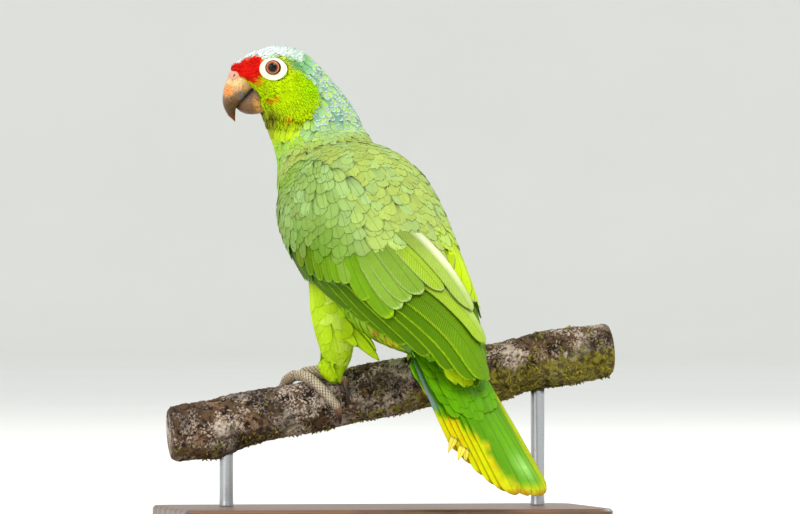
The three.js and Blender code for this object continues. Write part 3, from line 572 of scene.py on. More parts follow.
class VaneShape:
    """The outline of one kind of feather: where its rows and columns lie, how its half width
    runs from root to tip, how far the tip's corners lie back, its thickness and its camber,
    how uneven the tip's edge is and how dark the painted shade at the root is."""

    def __init__(self, rows, columns, widths, tip_back, thickness, camber, ragged=0.0, shade=0.65):
        self.s = np.linspace(0, 1, rows) ** 0.85 if isinstance(rows, int) else np.array(rows, float)
        self.c = np.linspace(-1, 1, columns) if isinstance(columns, int) else np.array(columns, float)
        places, values = zip(*widths)
        self.half = np.interp(self.s, places, values)
        self.tip_back, self.thickness, self.camber, self.ragged = tip_back, thickness, camber, ragged
        self.shade = shade
        rows, columns = len(self.s), len(self.c)
        top = np.arange(rows * columns).reshape(rows, columns)
        under = top.copy()
        under[1:-1, 1:-1] = rows * columns + np.arange((rows - 2) * (columns - 2)).reshape(
            rows - 2, columns - 2)
        self.faces = np.vstack([
            stack(top[:-1, :-1], top[1:, :-1], top[1:, 1:], top[:-1, 1:]).reshape(-1, 4),
            stack(under[:-1, :-1], under[:-1, 1:], under[1:, 1:], under[1:, :-1]).reshape(-1, 4),
        ])

    def outline(self, length, width, rng):
        """Each feather's own (x along, y across): length times s less a tip rounding that grows
        with c squared, and c times the half width."""
        s, c = self.s[:, None], self.c[None, :]
        back = self.tip_back * width[:, None, None] * c**2 * s**4
        x = length[:, None, None] * s - back
        if self.ragged:
            jag = rng.uniform(-1, 0.6, (len(length), 1, len(self.c))) * s**6
            x = x + self.ragged * length[:, None, None] * jag
        y = 0.5 * width[:, None, None] * self.half[:, None] * c
        return x, y + 0 * x


HAIR = VaneShape([0, 0.35, 0.68, 0.9, 1], 3, [(0, 0.5), (0.3, 0.95), (0.65, 1), (0.9, 0.6), (1, 0.14)],
                 tip_back=0.0, thickness=0.09, camber=0.1, ragged=0.08, shade=0.9)
FINE = VaneShape([0, 0.4, 0.7, 0.9, 1], 5, [(0, 0.5), (0.4, 0.95), (0.7, 1), (0.9, 0.78), (1, 0.34)],
                 tip_back=0.2, thickness=0.14, camber=0.16, ragged=0.05)
SCALE = VaneShape([0, 0.35, 0.6, 0.78, 0.9, 0.97, 1], 7,
                  [(0, 0.5), (0.3, 0.9), (0.6, 1), (0.78, 0.97), (0.9, 0.8), (0.97, 0.54), (1, 0.28)],
                  tip_back=0.1, thickness=0.15, camber=0.25, ragged=0.04)
POINTED = VaneShape(12, 5, [(0, 0.5), (0.3, 1), (0.6, 0.85), (0.85, 0.5), (0.95, 0.24), (1, 0.06)],
                    tip_back=0.0, thickness=0.25, camber=0.4)
SPIKE = VaneShape(8, 5, [(0, 1), (0.3, 0.9), (1, 0.03)], thickness=0.25, camber=0.1, tip_back=0.0, shade=1.0)
EDGED = [-1, -0.86, -0.55, -0.12, 0.12, 0.55, 0.86, 1]
ROUND_TIP = [(0.7, 1), (0.8, 0.97), (0.88, 0.87), (0.94, 0.72), (0.98, 0.5), (1, 0.24)]
COVERT = VaneShape([0, 0.25, 0.5, 0.7, 0.8, 0.88, 0.94, 0.98, 1], EDGED,
                   [(0, 0.55), (0.25, 0.85), (0.5, 1), *ROUND_TIP], tip_back=0.06, thickness=0.2, camber=0.35)
LESSER_VANE = VaneShape([0, 0.35, 0.62, 0.8, 0.9, 0.97, 1], 7,
                        [(0, 0.55), (0.35, 0.95), (0.62, 1), (0.8, 0.93), (0.9, 0.78), (0.97, 0.52),
                         (1, 0.26)], tip_back=0.06, thickness=0.14, camber=0.2, ragged=0.03, shade=0.75)
FLIGHT_VANE = VaneShape(np.append(np.linspace(0, 0.86, 15), [0.9, 0.935, 0.965, 0.985, 1]), EDGED,
                        [(0, 0.6), (0.2, 0.85), (0.6, 1), (0.86, 0.98), (0.9, 0.92), (0.935, 0.82),
                         (0.965, 0.66), (0.985, 0.48), (1, 0.22)], tip_back=0.1, thickness=0.28, camber=0.12)
TAIL_VANE = VaneShape(np.append(np.linspace(0, 0.9, 19), [0.93, 0.955, 0.975, 0.99, 1]), EDGED,
                      [(0, 0.6), (0.2, 0.85), (0.6, 1), (0.9, 1), (0.93, 0.97), (0.955, 0.88), (0.975, 0.74),
                       (0.99, 0.55), (1, 0.34)], tip_back=0.06, thickness=0.28, camber=0.12)


class Coat:
    """Gathers feathers for one piece and writes them as one mesh of closed, lens-shaped vanes."""

    def __init__(self, name, seed):
        self.name, self.rng = name, np.random.default_rng(seed)
        self.points, self.faces, self.uv, self.base = [], [], [], 0
        self.marks = {"tint": [], "rim": [], "vane": []}

    def add(self, shape, top, bottom, xy, edge, tint, rim, root, wave=0.0):
        """top (N, R, C, 3) and bottom points, feather coordinates, edge mask, colours (N, 3),
        and the root's place on the skin's unwrap (N, 2)."""
        n, rows, columns = top.shape[:3]
        inner = (slice(None), slice(1, -1), slice(1, -1))
        flat = lambda v: np.concatenate(
            [v.reshape(n, rows * columns, -1), v[inner].reshape(n, (rows - 2) * (columns - 2), -1)], 1)
        points = np.concatenate([top.reshape(n, -1, 3), bottom[inner].reshape(n, -1, 3)], 1)
        each = points.shape[1]
        spread = lambda v: np.broadcast_to(v, (n, rows, columns, v.shape[-1]))
        s, c = spread(shape.s[:, None, None]), spread(shape.c[None, :, None])
        # painted shade: the root, which other feathers cover, is darker
        shade = shape.shade + (1 - shape.shade) * step(s, 0.15, 0.6)
        tints = tint[:, None, None, :] * shade if tint.ndim == 2 else tint * shade
        rims = spread(rim[:, None, None, :])
        draw = spread(self.rng.random((n, 1, 1, 1)))
        waves = spread(np.asarray(wave, float).reshape(-1, 1, 1, 1))
        self.points.append(points.reshape(-1, 3))
        first = self.base + each * np.arange(n)
        self.faces.append((shape.faces[None] + first[:, None, None]).reshape(-1, 4))
        self.base += n * each
        self.marks["tint"].append(flat(np.concatenate([tints, draw], -1)).reshape(-1, 4))
        self.marks["rim"].append(flat(np.concatenate([rims, waves], -1)).reshape(-1, 4))
        self.marks["vane"].append(flat(np.concatenate([xy, edge[..., None]], -1)).reshape(-1, 3))
        patch = np.concatenate([c / 2, s - 0.5], -1) * PATCH
        self.uv.append(flat(np.clip(root[:, None, None, :] + patch, 0, 1)).reshape(-1, 2))

    def write(self, material, slot):
        """All the feathers so far as one piece."""
        marks = {key: np.vstack(values) for key, values in self.marks.items()}
        surface = np.vstack(self.points), [np.vstack(self.faces)], np.vstack(self.uv)
        make_piece(self.name, surface, material, (), marks, True)


def frame_at(surface, t, a):
    """A surface's point, outward normal and steps along t and a, by central differences."""
    e, g = 0.02, 1.0
    at = surface(t, a)
    along = (surface(t + e, a) - surface(t - e, a)) / (2 * e)
    about = (surface(t, a + g) - surface(t, a - g)) / (2 * g)
    normal = unit(np.cross(about, along))
    turn = np.sign(dot(normal, surface(t, a, 1.0) - at))[..., None]
    return at, normal * turn, along, about


def in_steps(vector, along, about):
    """A tangent vector as steps of t and a, from the surface's own metric."""
    g11, g12, g22 = dot(along, along), dot(along, about), dot(about, about)
    r1, r2 = dot(vector, along), dot(vector, about)
    det = np.maximum(g11 * g22 - g12 * g12, 1e-9)
    return (g22 * r1 - g12 * r2) / det, (g11 * r2 - g12 * r1) / det


def bend_of(surface, t, a, d, b):
    """How a surface curves along d, along b and between them: minus the change of its normal,
    by central differences."""
    e, g = 0.04, 2.0
    _, _, along, about = frame_at(surface, t, a)
    change_t = (frame_at(surface, t + e, a)[1] - frame_at(surface, t - e, a)[1]) / (2 * e)
    change_a = (frame_at(surface, t, a + g)[1] - frame_at(surface, t, a - g)[1]) / (2 * g)
    dt, da = in_steps(d, along, about)
    bt, ba = in_steps(b, along, about)
    change_d = change_t * dt[:, None] + change_a * da[:, None]
    change_b = change_t * bt[:, None] + change_a * ba[:, None]
    limit = lambda k: np.clip(k, -0.12, 0.1)
    return limit(-dot(change_d, d)), limit(-dot(change_d, b)), limit(-dot(change_b, b))


def follow(surface, t, a, d, shape, x, y, height):
    """Feathers that follow a surface all the way: the middle line steps over it, turned into
    its plane at each row, and the places beside it come from the metric there."""
    middle = x[:, :, len(shape.c) // 2]
    rows = []
    for k in range(len(shape.s)):
        _, normal, along, about = frame_at(surface, t, a)
        d = unit(d - dot(d, normal)[:, None] * normal)
        b = np.cross(normal, d)
        shift = y[:, k, :, None] * b[:, None] + (x[:, k] - middle[:, k, None])[..., None] * d[:, None]
        dt, da = in_steps(shift, along[:, None], about[:, None])
        rows.append([t[:, None] + dt, a[:, None] + da])
        if k + 1 < len(shape.s):
            dt, da = in_steps(d * (middle[:, k + 1] - middle[:, k])[:, None], along, about)
            t, a = t + dt, a + da
    places = np.array(rows).transpose(1, 2, 0, 3)
    return surface(*places, height), surface(*places, height - shape.thickness)


def lay(coat, surface, t, a, way, length, width, lift, rise, shape, marks, root, splay=0.12, roll=0.03,
        outline=0.0, close=False):
    """Feathers from roots (t, a) over a surface. Each follows the surface to second order: a
    point is the root plus x along the lie, plus y across it, plus the normal times the lift,
    the rise to the tip, and half the surface's bends times x and y squared; where they are to
    lie close, they follow the surface itself."""
    rng = coat.rng
    n = len(t)
    at, normal, _, _ = frame_at(surface, t, a)
    d = unit(way - dot(way, normal)[:, None] * normal)
    b = np.cross(normal, d)
    turn = splay * rng.normal(size=n)[:, None]
    d, b = d * np.cos(turn) + b * np.sin(turn), b * np.cos(turn) - d * np.sin(turn)
    if close:
        kdd = kdb = kbb = 0
    else:
        kdd, kdb, kbb = (k[:, None, None] for k in bend_of(surface, t, a, d, b))
    length = length * rng.uniform(0.88, 1.12, n)
    width = width * rng.uniform(0.9, 1.1, n)
    x, y = shape.outline(length, width, rng)
    s, c = shape.s[None, :, None], shape.c[None, None, :]
    height = (per_feather(lift, n) + per_feather(rise, n) * s - shape.camber * c**2 * np.sin(np.pi * s) ** 0.5
              + roll * rng.normal(size=(n, 1, 1)) * c * 2 + UNEVEN * rng.normal(size=(n, 1, 1))
              + 0.5 * (kdd * x**2 + 2 * kdb * x * y + kbb * y**2))
    if close:
        top, bottom = follow(surface, t, a, d, shape, x, y, height)
    else:
        flat = at[:, None, None] + x[..., None] * d[:, None, None] + y[..., None] * b[:, None, None]
        top = flat + height[..., None] * normal[:, None, None]
        bottom = top - shape.thickness * normal[:, None, None]
    near = np.maximum(np.abs(c) ** 3 * step(s, 0.3, 0.7), step(s, 0.65, 1.0)) + 0 * x
    tint, rim, strength = marks
    tint = tint * rng.uniform(0.94, 1.06, (n, 1))
    coat.add(shape, top, bottom, stack(x, y), near * per_feather(strength, n), tint, rim, root,
             -np.broadcast_to(outline, (n,)))


def scatter(surface, start, end, gap, rng, jitter, stretch=1.0):
    """Roots in staggered rings over a surface of angles 0 to 360: rings are a gap apart along
    the longest meridian, and roots a gap apart round each ring; where rings crowd, some drop
    out. gap(t) gives the spacing. Returns t, a and the spacing."""
    fine = np.linspace(start, end, 600)
    lines = np.stack([surface(fine, np.full(600, m)) for m in circle(6, 360)])
    pace = (np.linalg.norm(np.diff(lines, axis=1), axis=-1).max(0)
            / (stretch * gap(0.5 * (fine[1:] + fine[:-1]))))
    run = np.concatenate([[0], np.cumsum(pace)])
    rings = np.interp(np.arange(0.5, run[-1]), run, fine)
    angles = np.linspace(0, 360, 361)
    ts, as_ = [], []
    for k, t in enumerate(rings):
        edge = surface(np.full(361, t), angles)
        turn = distance(edge)
        count = max(int(turn[-1] / gap(t)), 3)
        spots = (np.arange(count) + 0.5 * (k % 2) + rng.uniform(-jitter, jitter, count)) / count % 1
        as_.append(np.interp(spots * turn[-1], turn, angles))
        ahead = rings[min(k + 1, len(rings) - 1)] - t
        ts.append(np.full(count, t) + rng.uniform(-jitter, jitter, count) * ahead)
    t, a = np.concatenate(ts), np.concatenate(as_)
    _, _, along, _ = frame_at(surface, t, a)
    ring_step = np.interp(t, fine[1:], np.diff(fine) / pace)
    crowd = np.linalg.norm(along, axis=-1) * ring_step / (stretch * gap(t))
    keep = rng.random(len(t)) < np.clip(1.25 * crowd, 0, 1)
    return t[keep], a[keep], gap(t[keep])


def spans(rows):
    """Roots, tips and widths from rows of a feather table."""
    table = np.array(rows, float)
    return table[:, :2], table[:, 2:4], table[:, 4]


def vanes(coat, surface, roots, tips, width, lifts, shape, marks, root, turn=1, tilt=0.4, stagger=0.1,
          flat=None, wave=0.0, rims=(1, 1, 1)):
    """Long feathers between roots and tips, each (t, a) on a surface. A middle line runs
    straight from root to tip; across it the surface itself is followed, by its own metric, at
    a lift that goes from the root's to the tip's, higher on the side c = 1 by tilt."""
    rng = coat.rng
    flat = flat or surface
    n = len(roots)
    s = shape.s[None, :]
    t = roots[:, :1] + (tips - roots)[:, :1] * s
    a = roots[:, 1:] + (tips - roots)[:, 1:] * s
    at, normal, along, about = frame_at(flat, t, a)
    run = unit(along * (tips - roots)[:, None, :1] + about * (tips - roots)[:, None, 1:])
    across = np.cross(normal, run) * turn
    length = np.linalg.norm(np.diff(at, axis=1), axis=-1).sum(1)
    width = np.broadcast_to(np.asarray(width, float), (n,))
    x, y = shape.outline(length, width, rng)
    slide = x - length[:, None, None] * shape.s[None, :, None]
    shift = y[..., None] * across[:, :, None] + slide[..., None] * run[:, :, None]
    dt, da = in_steps(shift, along[:, :, None], about[:, :, None])
    lifts = np.broadcast_to(np.asarray(lifts, float), (n, 2))
    c = shape.c[None, None, :]
    s3 = s[..., None]
    lift = (lifts[:, :1, None] * (1 - s3) + lifts[:, 1:, None] * s3 + c * tilt * (0.4 + 0.6 * s3)
            - shape.camber * c**2 * (1 - 0.5 * s3) + (stagger * np.arange(n))[:, None, None])
    places = (t[..., None] + dt, a[..., None] + da)
    top = surface(*places, lift)
    bottom = surface(*places, lift - shape.thickness)
    inner, tip, outer = rims
    near = np.maximum(np.maximum(inner * step(-c, 0.6, 1), outer * step(c, 0.6, 1)) * step(s3, 0, 0.3),
                      tip * step(s3, 0.9, 1.0)) + 0 * x
    tint, rim, strength = marks
    if tint.ndim == 2:
        tint = tint * rng.uniform(0.92, 1.08, (n, 1))
    coat.add(shape, top, bottom, stack(x, y), near * per_feather(strength, n), tint, rim, root, wave)


# ---- materials
class Field:
    """A number that varies over a surface. Its operators add Math nodes."""

    def __init__(self, finish, socket):
        self.finish, self.socket = finish, socket

    def math(self, operation, *others, swap=False):
        """A Math node of this number and others, the other way round if swapped."""
        values = [self, *others]
        if swap:
            values.reverse()
        node = self.finish.node("Math", {"operation": operation}, dict(enumerate(values)))
        return Field(self.finish, node.outputs[0])

    def __add__(self, other): return self.math("ADD", other)
    def __sub__(self, other): return self.math("SUBTRACT", other)
    def __rsub__(self, other): return self.math("SUBTRACT", other, swap=True)
    def __mul__(self, other): return self.math("MULTIPLY", other)
    def __pow__(self, other): return self.math("POWER", other)
    __radd__ = __add__
    __rmul__ = __mul__

    def sin(self): return self.math("SINE")
    def abs(self): return self.math("ABSOLUTE")
    def least(self, other): return self.math("MINIMUM", other)
    def most(self, other): return self.math("MAXIMUM", other)

    def run(self, low, high):
        """A smooth step of this number from low to high."""
        node = self.finish.node("MapRange", {"interpolation_type": "SMOOTHSTEP", "clamp": True},
                                {"Value": self, "From Min": low, "From Max": high})
        return Field(self.finish, node.outputs["Result"])


class Finish:
    """A material in the making."""

    def __init__(self, name):
        self.material = bpy.data.materials.new(name)
        self.material.use_nodes = True
        self.tree = self.material.node_tree
        self.tree.nodes.clear()

    def node(self, kind, settings=None, sockets=None):
        """One node: its settings first, then its sockets' values or links."""
        made = self.tree.nodes.new("ShaderNode" + kind)
        for key, value in (settings or {}).items():
            if key == "stops":
                ramp = made.color_ramp.elements
                while len(ramp) < len(value):
                    ramp.new(1)
                for element, (place, colour) in zip(ramp, value):
                    element.position, element.color = place, (*colour, 1)
            else:
                setattr(made, key, value)
        for key, value in (sockets or {}).items():
            value = value.socket if isinstance(value, Field) else value
            if isinstance(value, bpy.types.NodeSocket):
                self.tree.links.new(value, made.inputs[key])
            else:
                made.inputs[key].default_value = value
        return made

    def place(self):
        """Where a point is in the model's frame, in metres."""
        return self.node("TexCoord").outputs["Object"]

    def attribute(self, name, output="Vector"):
        """What a mesh attribute says."""
        return self.node("Attribute", {"attribute_name": name}).outputs[output]

    def parts(self, name):
        """An attribute's three numbers."""
        split = self.node("SeparateXYZ", None, {"Vector": self.attribute(name)})
        return [Field(self, split.outputs[i]) for i in range(3)]

    def along(self, axis, origin):
        """Millimetres along an axis from an origin, both in the model's frame."""
        moved = self.node("VectorMath", {"operation": "SUBTRACT"},
                          {0: self.place(), 1: tuple(np.asarray(origin) * MM)})
        node = self.node("VectorMath", {"operation": "DOT_PRODUCT"},
                         {0: moved.outputs[0], 1: tuple(np.asarray(axis) / MM)})
        return Field(self, node.outputs["Value"])

    def noise(self, size, detail=4.0, rough=0.55, vector=None, stretch=None):
        """Noise of about a size in millimetres, 0 to 1."""
        vector = vector or self.place()
        if stretch:
            vector = self.node("Mapping", None, {"Vector": vector, "Scale": stretch}).outputs[0]
        node = self.node("TexNoise", None, {"Vector": vector, "Scale": 1000 / size, "Detail": detail,
                                            "Roughness": rough})
        return Field(self, node.outputs["Fac"])

    def cells(self, size):
        """Distance from the middles of cells of about a size in millimetres."""
        node = self.node("TexVoronoi", None, {"Vector": self.place(), "Scale": 1000 / size})
        return Field(self, node.outputs["Distance"])

    def mix(self, mask, a, b, blend_type="MIX"):
        """Colours a and b mixed by a mask."""
        colour = lambda v: v if isinstance(v, bpy.types.NodeSocket) else (*(float(x) for x in v), 1.0)
        node = self.node("Mix", {"data_type": "RGBA", "blend_type": blend_type},
                         {0: mask, 6: colour(a), 7: colour(b)})
        return node.outputs[2]

    def grey(self, value):
        """A number as a colour."""
        node = self.node("CombineColor", None, {0: value, 1: value, 2: value})
        return node.outputs[0]

    def scaled(self, colour, value):
        """A colour times a number that varies."""
        return self.mix(1.0, colour, self.grey(value), "MULTIPLY")

    def ramp(self, value, stops):
        """A colour that runs through stops, each a place and a colour."""
        return self.node("ValToRGB", {"stops": stops}, {"Fac": value}).outputs["Color"]

    def done(self, colour, roughness, height=None, depth=0.1, strength=0.6, plain=None):
        """The Principled shader; height is a Bump of depth millimetres, plain sets fixed sockets."""
        sockets = {"Base Color": colour, "Roughness": roughness, **(plain or {})}
        if height is not None:
            bump = self.node("Bump", None, {"Height": height, "Distance": depth * MM, "Strength": strength})
            sockets["Normal"] = bump.outputs[0]
        shader = self.node("BsdfPrincipled", None, sockets)
        self.node("OutputMaterial", None, {"Surface": shader.outputs[0]})
        return self.material


def plumage_material(name, barb=0.55, shaft=0.13):
    """Feathers: the tint with its rim by the edge mask, oblique barbs each side of the shaft,
    and on some a coarser wave across the vane."""
    f = Finish(name)
    tint = f.node("Attribute", {"attribute_name": "tint"})
    rim = f.node("Attribute", {"attribute_name": "rim"})
    x, y, edge = f.parts("vane")
    draw, wave = Field(f, tint.outputs["Alpha"]), Field(f, rim.outputs["Alpha"])
    side = y.abs()
    slope = x - side * 1.3
    fine = (slope * (6.28 / barb)).sin() * 0.5 + 0.5
    coarse = (slope * (6.28 / 1.7) + f.noise(9) * 3).sin() * 0.5 + 0.5
    mottle = f.noise(2.2) * 0.5 + f.noise(7) * 0.5
    ruffled = edge + (f.noise(0.9) - 0.5) * 0.5
    colour = f.mix(ruffled.run(0.38, 0.75), tint.outputs["Color"], rim.outputs["Color"])
    # on some a thin dark line just inside the tip's edge
    outline = (edge + (f.noise(1.4) - 0.5) * 0.3).run(0.88, 1.0) * (wave * -1).most(0)
    wave = wave.most(0)
    light = 0.9 + fine * 0.1 + (mottle - 0.5) * 0.4 + (draw - 0.5) * 0.14 + wave * (coarse - 0.6) * 0.55
    line = 1 - side.run(0.3, 0.12) * shaft
    colour = f.scaled(colour, light * line * (1 - outline * 0.62))
    height = fine * 0.5 + coarse * wave * 1.2 + side.run(0.35, 0.1) * 0.8
    return f.done(colour, 0.62 + (mottle - 0.5) * 0.2, height, depth=0.12, strength=0.55,
                  plain={"Specular IOR Level": 0.05})


def skin_material():
    """The skin under the coat: the same markings, darkened as painted shade of the coat's depths, with fine
    pimples.
    """
    f = Finish("feathered_skin")
    colour = f.scaled(f.attribute("tint", "Color"), 0.6 + f.noise(1.5) * 0.3)
    return f.done(colour, 0.8, f.cells(1.4), depth=0.2)


def horn_material(name, lower):
    """Bill horn in the head's frame: cream at the top, an orange flush towards the ridge, a
    grey-brown band across the middle and a red-brown point; fine growth lines along it."""
    f = Finish(name)
    forward = f.along(HEAD_FORWARD, EYES_MIDDLE)
    up = f.along(UP, EYES_MIDDLE)
    cloud = f.noise(5, 5) - 0.5
    grain = f.noise(1.4, 6, 0.65) - 0.5
    if lower:
        colour = f.ramp(forward * 0.05 + cloud * 0.35, [
            (0.06, rgb(112, 76, 36)), (0.24, rgb(212, 150, 78)), (0.42, rgb(188, 136, 72)),
            (0.56, rgb(122, 88, 56)), (0.9, rgb(98, 70, 46))])
        colour = f.mix((up + cloud * 6).run(-20.5, -15.5) * 0.85, colour, rgb(112, 88, 72))
        colour = f.mix((up + cloud * 4).run(-24.5, -27) * 0.9, colour, rgb(92, 58, 30))
    else:
        height = up + cloud * 7 + (forward - 20) * 0.35
        colour = f.ramp((height + 34) * (1 / 34), [
            (0.0, rgb(74, 38, 12)), (0.2, rgb(76, 50, 20)), (0.4, rgb(88, 64, 36)),
            (0.52, rgb(122, 90, 58)), (0.62, rgb(192, 146, 94)), (0.76, rgb(226, 190, 130)),
            (0.95, rgb(216, 182, 136))])
        flush = forward.run(21.5, 25) * (up + cloud * 3 + 12.7).abs().run(4.4, 2.2)
        colour = f.mix(flush * (0.8 + cloud), colour, rgb(234, 140, 60))
        bruise = (forward - 17 + cloud * 4).abs().run(4, 1.6) * (up + 16.3 + cloud * 3).abs().run(3.4, 0.9)
        colour = f.mix((bruise * (0.9 + cloud * 1.5)).least(0.85), colour, rgb(104, 100, 94))
        colour = f.mix((up + cloud * 2).run(-26.5, -29.5) * 0.7, colour, rgb(128, 52, 16))
    fleck = f.noise(0.9, 3, 0.6).run(0.53, 0.64) * 0.5
    light = 1 + grain * 1.3 - fleck
    lines = f.noise(0.8, 3, 0.5, stretch=(1, 1, 0.25))
    return f.done(f.scaled(colour, light), 0.42 + grain * 0.3, lines + grain, depth=0.15,
                  plain={"Specular IOR Level": 0.25, "Subsurface Weight": 0.08,
                         "Subsurface Radius": (0.002, 0.001, 0.0006), "Subsurface Scale": 1.0})


def eye_material(side):
    """The eye by the angle from its axis: black pupil, orange-red iris paler at its outer
    edge, dark rim; a clear coat over all."""
    f = Finish(f"eye_{'left' if side > 0 else 'right'}")
    centre, axis = eye_centre(side), eye_axis(side)
    moved = f.node("VectorMath", {"operation": "SUBTRACT"},
                   {0: f.place(), 1: tuple(centre * MM)}).outputs[0]
    straight = f.node("VectorMath", {"operation": "CROSS_PRODUCT"},
                      {0: moved, 1: tuple(axis)}).outputs[0]
    off = f.node("VectorMath", {"operation": "LENGTH"}, {0: straight}).outputs["Value"]
    radius = Field(f, off) * (1 / MM)
    fibres = f.noise(0.5, 3, 0.6)
    colour = f.ramp(radius * 0.2 + (fibres - 0.5) * 0.03, [
        (0.0, rgb(2, 2, 2)), (0.46, rgb(3, 2, 2)), (0.5, rgb(104, 46, 26)),
        (0.62, rgb(150, 76, 46)), (0.67, rgb(222, 132, 88)), (0.73, rgb(206, 112, 70)),
        (0.78, rgb(66, 28, 20)), (0.86, rgb(10, 7, 7))])
    return f.done(colour, 0.35, fibres, depth=0.03, strength=0.2,
                  plain={"Coat Weight": 1.0, "Coat Roughness": 0.03, "Coat IOR": 1.28,
                         "Specular IOR Level": 0.05})


def ring_material():
    """Bare cream skin round the eye, in fine granules and circling folds, dark at the lid."""
    f = Finish("bare_skin")
    fold = f.parts("ring")[0]
    grain = f.noise(0.9, 5, 0.6)
    colour = f.mix((fold + (grain - 0.5) * 0.06).run(0.15, 0.10), rgb(240, 233, 208), rgb(34, 25, 23))
    colour = f.mix(fold.run(0.8, 1.0) * 0.6, colour, rgb(226, 220, 160))
    colour = f.scaled(colour, 0.88 + grain * 0.22)
    height = f.cells(0.7) * 0.6 + (fold * 34 + grain * 4).sin() * 0.5
    return f.done(colour, 0.6, height, depth=0.14,
                  plain={"Subsurface Weight": 0.1, "Subsurface Radius": (0.002, 0.001, 0.0008),
                         "Subsurface Scale": 1.0})


def cere_material():
    """Pinkish white cere with small pores, and painted shade inside the nostrils."""
    f = Finish("cere_skin")
    hole = f.parts("ring")[0]
    grain = f.noise(1.1, 5, 0.6)
    colour = f.mix(grain.run(0.35, 0.7), rgb(206, 142, 112), rgb(226, 178, 150))
    colour = f.mix(f.noise(2.6).run(0.52, 0.66) * 0.6, colour, rgb(218, 138, 108))
    # painted shade: near-black in the nostril pits
    colour = f.mix(hole.run(0.35, 0.8), colour, rgb(46, 22, 20))
    return f.done(colour, 0.55, f.cells(0.6) + grain, depth=0.16)


def foot_material():
    """Scaly toes: small lozenge scales, pale beige over grey-brown grooves, and a painted highlight on the
    side that faces away from the branch.
    """
    f = Finish("foot_scales")
    _, top, net = f.parts("scute")
    grain = f.noise(1.2, 5)
    colour = f.mix(grain.run(0.35, 0.7), rgb(186, 168, 136), rgb(134, 114, 88))
    # painted highlight: paler on the side that faces away from the branch, and on top of the shank
    colour = f.mix(top.run(0.2, 1.0) * 0.5, colour, rgb(222, 208, 186))
    groove = (net + (grain - 0.5) * 0.6).run(0.64, 0.2)
    colour = f.mix(groove * 0.85, colour, rgb(74, 52, 36))
    return f.done(colour, 0.6 + groove * 0.2, 1 - groove + grain * 0.5, depth=0.5, strength=0.9)


def claw_material():
    """Dark horn with lengthwise streaks, paler at the root."""
    f = Finish("claw_horn")
    x, _, _ = f.parts("scute")
    streak = f.noise(0.8, 4, 0.6)
    colour = f.mix(x.run(1, 8), rgb(140, 96, 68), rgb(52, 38, 32))
    return f.done(f.scaled(colour, 0.75 + streak * 0.5), 0.38, streak, depth=0.06)


def bark_material():
    """Rough bark: dark cracks, brown ridges, blotches of grey-white and tan lichen, and green
    moss where the mask says."""
    f = Finish("bark")
    relief, moss, _ = f.parts("bark")
    fine = f.noise(1.6, 8, 0.7)
    mid = f.noise(6, 6, 0.65)
    wide = f.noise(19, 4, 0.6)
    colour = f.mix(relief.run(-0.5, 0.6), rgb(26, 20, 15), rgb(92, 70, 50))
    colour = f.mix(mid.run(0.42, 0.7) * 0.8, colour, rgb(50, 38, 28))
    patch = (wide + (fine - 0.5) * 0.5).run(0.5, 0.62)
    colour = f.mix(patch * 0.75, colour, rgb(188, 176, 160))
    tan = (f.noise(13, 5, 0.6) + (fine - 0.5) * 0.45).run(0.56, 0.68)
    colour = f.mix(tan * 0.6, colour, rgb(150, 118, 92))
    crust = (wide + (mid - 0.5) * 0.9).run(0.42, 0.56) * f.noise(1.5, 3, 0.6).run(0.5, 0.56)
    colour = f.mix(crust * 0.8, colour, rgb(208, 186, 170))
    colour = f.mix(f.noise(2.2, 4, 0.7).run(0.46, 0.4) * 0.75, colour, rgb(30, 22, 18))
    dark = (f.noise(24, 4, 0.6) + (fine - 0.5) * 0.3).run(0.52, 0.6)
    colour = f.mix(dark * 0.65, colour, rgb(24, 19, 16))
    green = (moss + (mid - 0.5) * 1.1).run(0.35, 0.7)
    colour = f.mix(green * 0.85, colour, f.mix(f.noise(3).run(0.4, 0.6), rgb(74, 66, 16), rgb(126, 118, 30)))
    height = fine * 0.8 + mid + patch * 0.3
    return f.done(f.scaled(colour, 0.5 + fine * 1.0), 0.92, height, depth=0.7, strength=0.9,
                  plain={"Specular IOR Level": 0.2})


def moss_material():
    """Moss leaves: yellow-green and olive-brown in soft patches of noise."""
    f = Finish("moss")
    tone = f.noise(5, 4)
    colour = f.mix(tone.run(0.35, 0.65), rgb(74, 66, 14), rgb(150, 138, 34))
    return f.done(f.scaled(colour, 0.7 + f.noise(0.8) * 0.6), 0.9, tone, depth=0.1)


def wood_material():
    """Oiled walnut: long grain along the base, with darker rings and pores."""
    f = Finish("stand_wood")
    way = unit(np.array([-0.407, -0.914, 0]))
    x = f.along(way, (0, 0, 0))
    y = f.along(np.cross(UP, way), (0, 0, 0))
    bend = f.noise(60, 3) * 9
    rings = ((y * 0.32 + bend + x * 0.004).sin() * 0.5 + 0.5) ** 1.6
    fibre = f.noise(2.2, 6, 0.6, vector=f.node("CombineXYZ", None, {
        0: x * 0.0001, 1: y * 0.0022, 2: f.along(UP, (0, 0, 0)) * 0.001}).outputs[0])
    colour = f.mix(rings, rgb(118, 78, 48), rgb(66, 40, 24))
    colour = f.scaled(colour, 0.6 + fibre * 0.8)
    return f.done(colour, 0.38 + fibre * 0.15, fibre + rings * 0.3, depth=0.08,
                  plain={"Coat Weight": 0.25, "Coat Roughness": 0.2})


def metal_material():
    """Brushed steel rods: fine rings round them."""
    f = Finish("stand_metal")
    rings = f.noise(0.5, 3, 0.6, stretch=(0.05, 0.05, 1))
    return f.done(f.mix(rings, rgb(160, 162, 166), rgb(190, 192, 196)), 0.28 + rings * 0.12, rings,
                  depth=0.02, plain={"Metallic": 1.0})


# ---- camera and studio
CAMERA_AIM = np.array([-18.5, -0.7, 157.2])
CAMERA_SIDE = np.array([-0.829, 0.559, 0])
CAMERA_DISTANCE, CAMERA_LENS = 6000, 465.5
LIGHTS_AIM = (0, 0, 0.17)
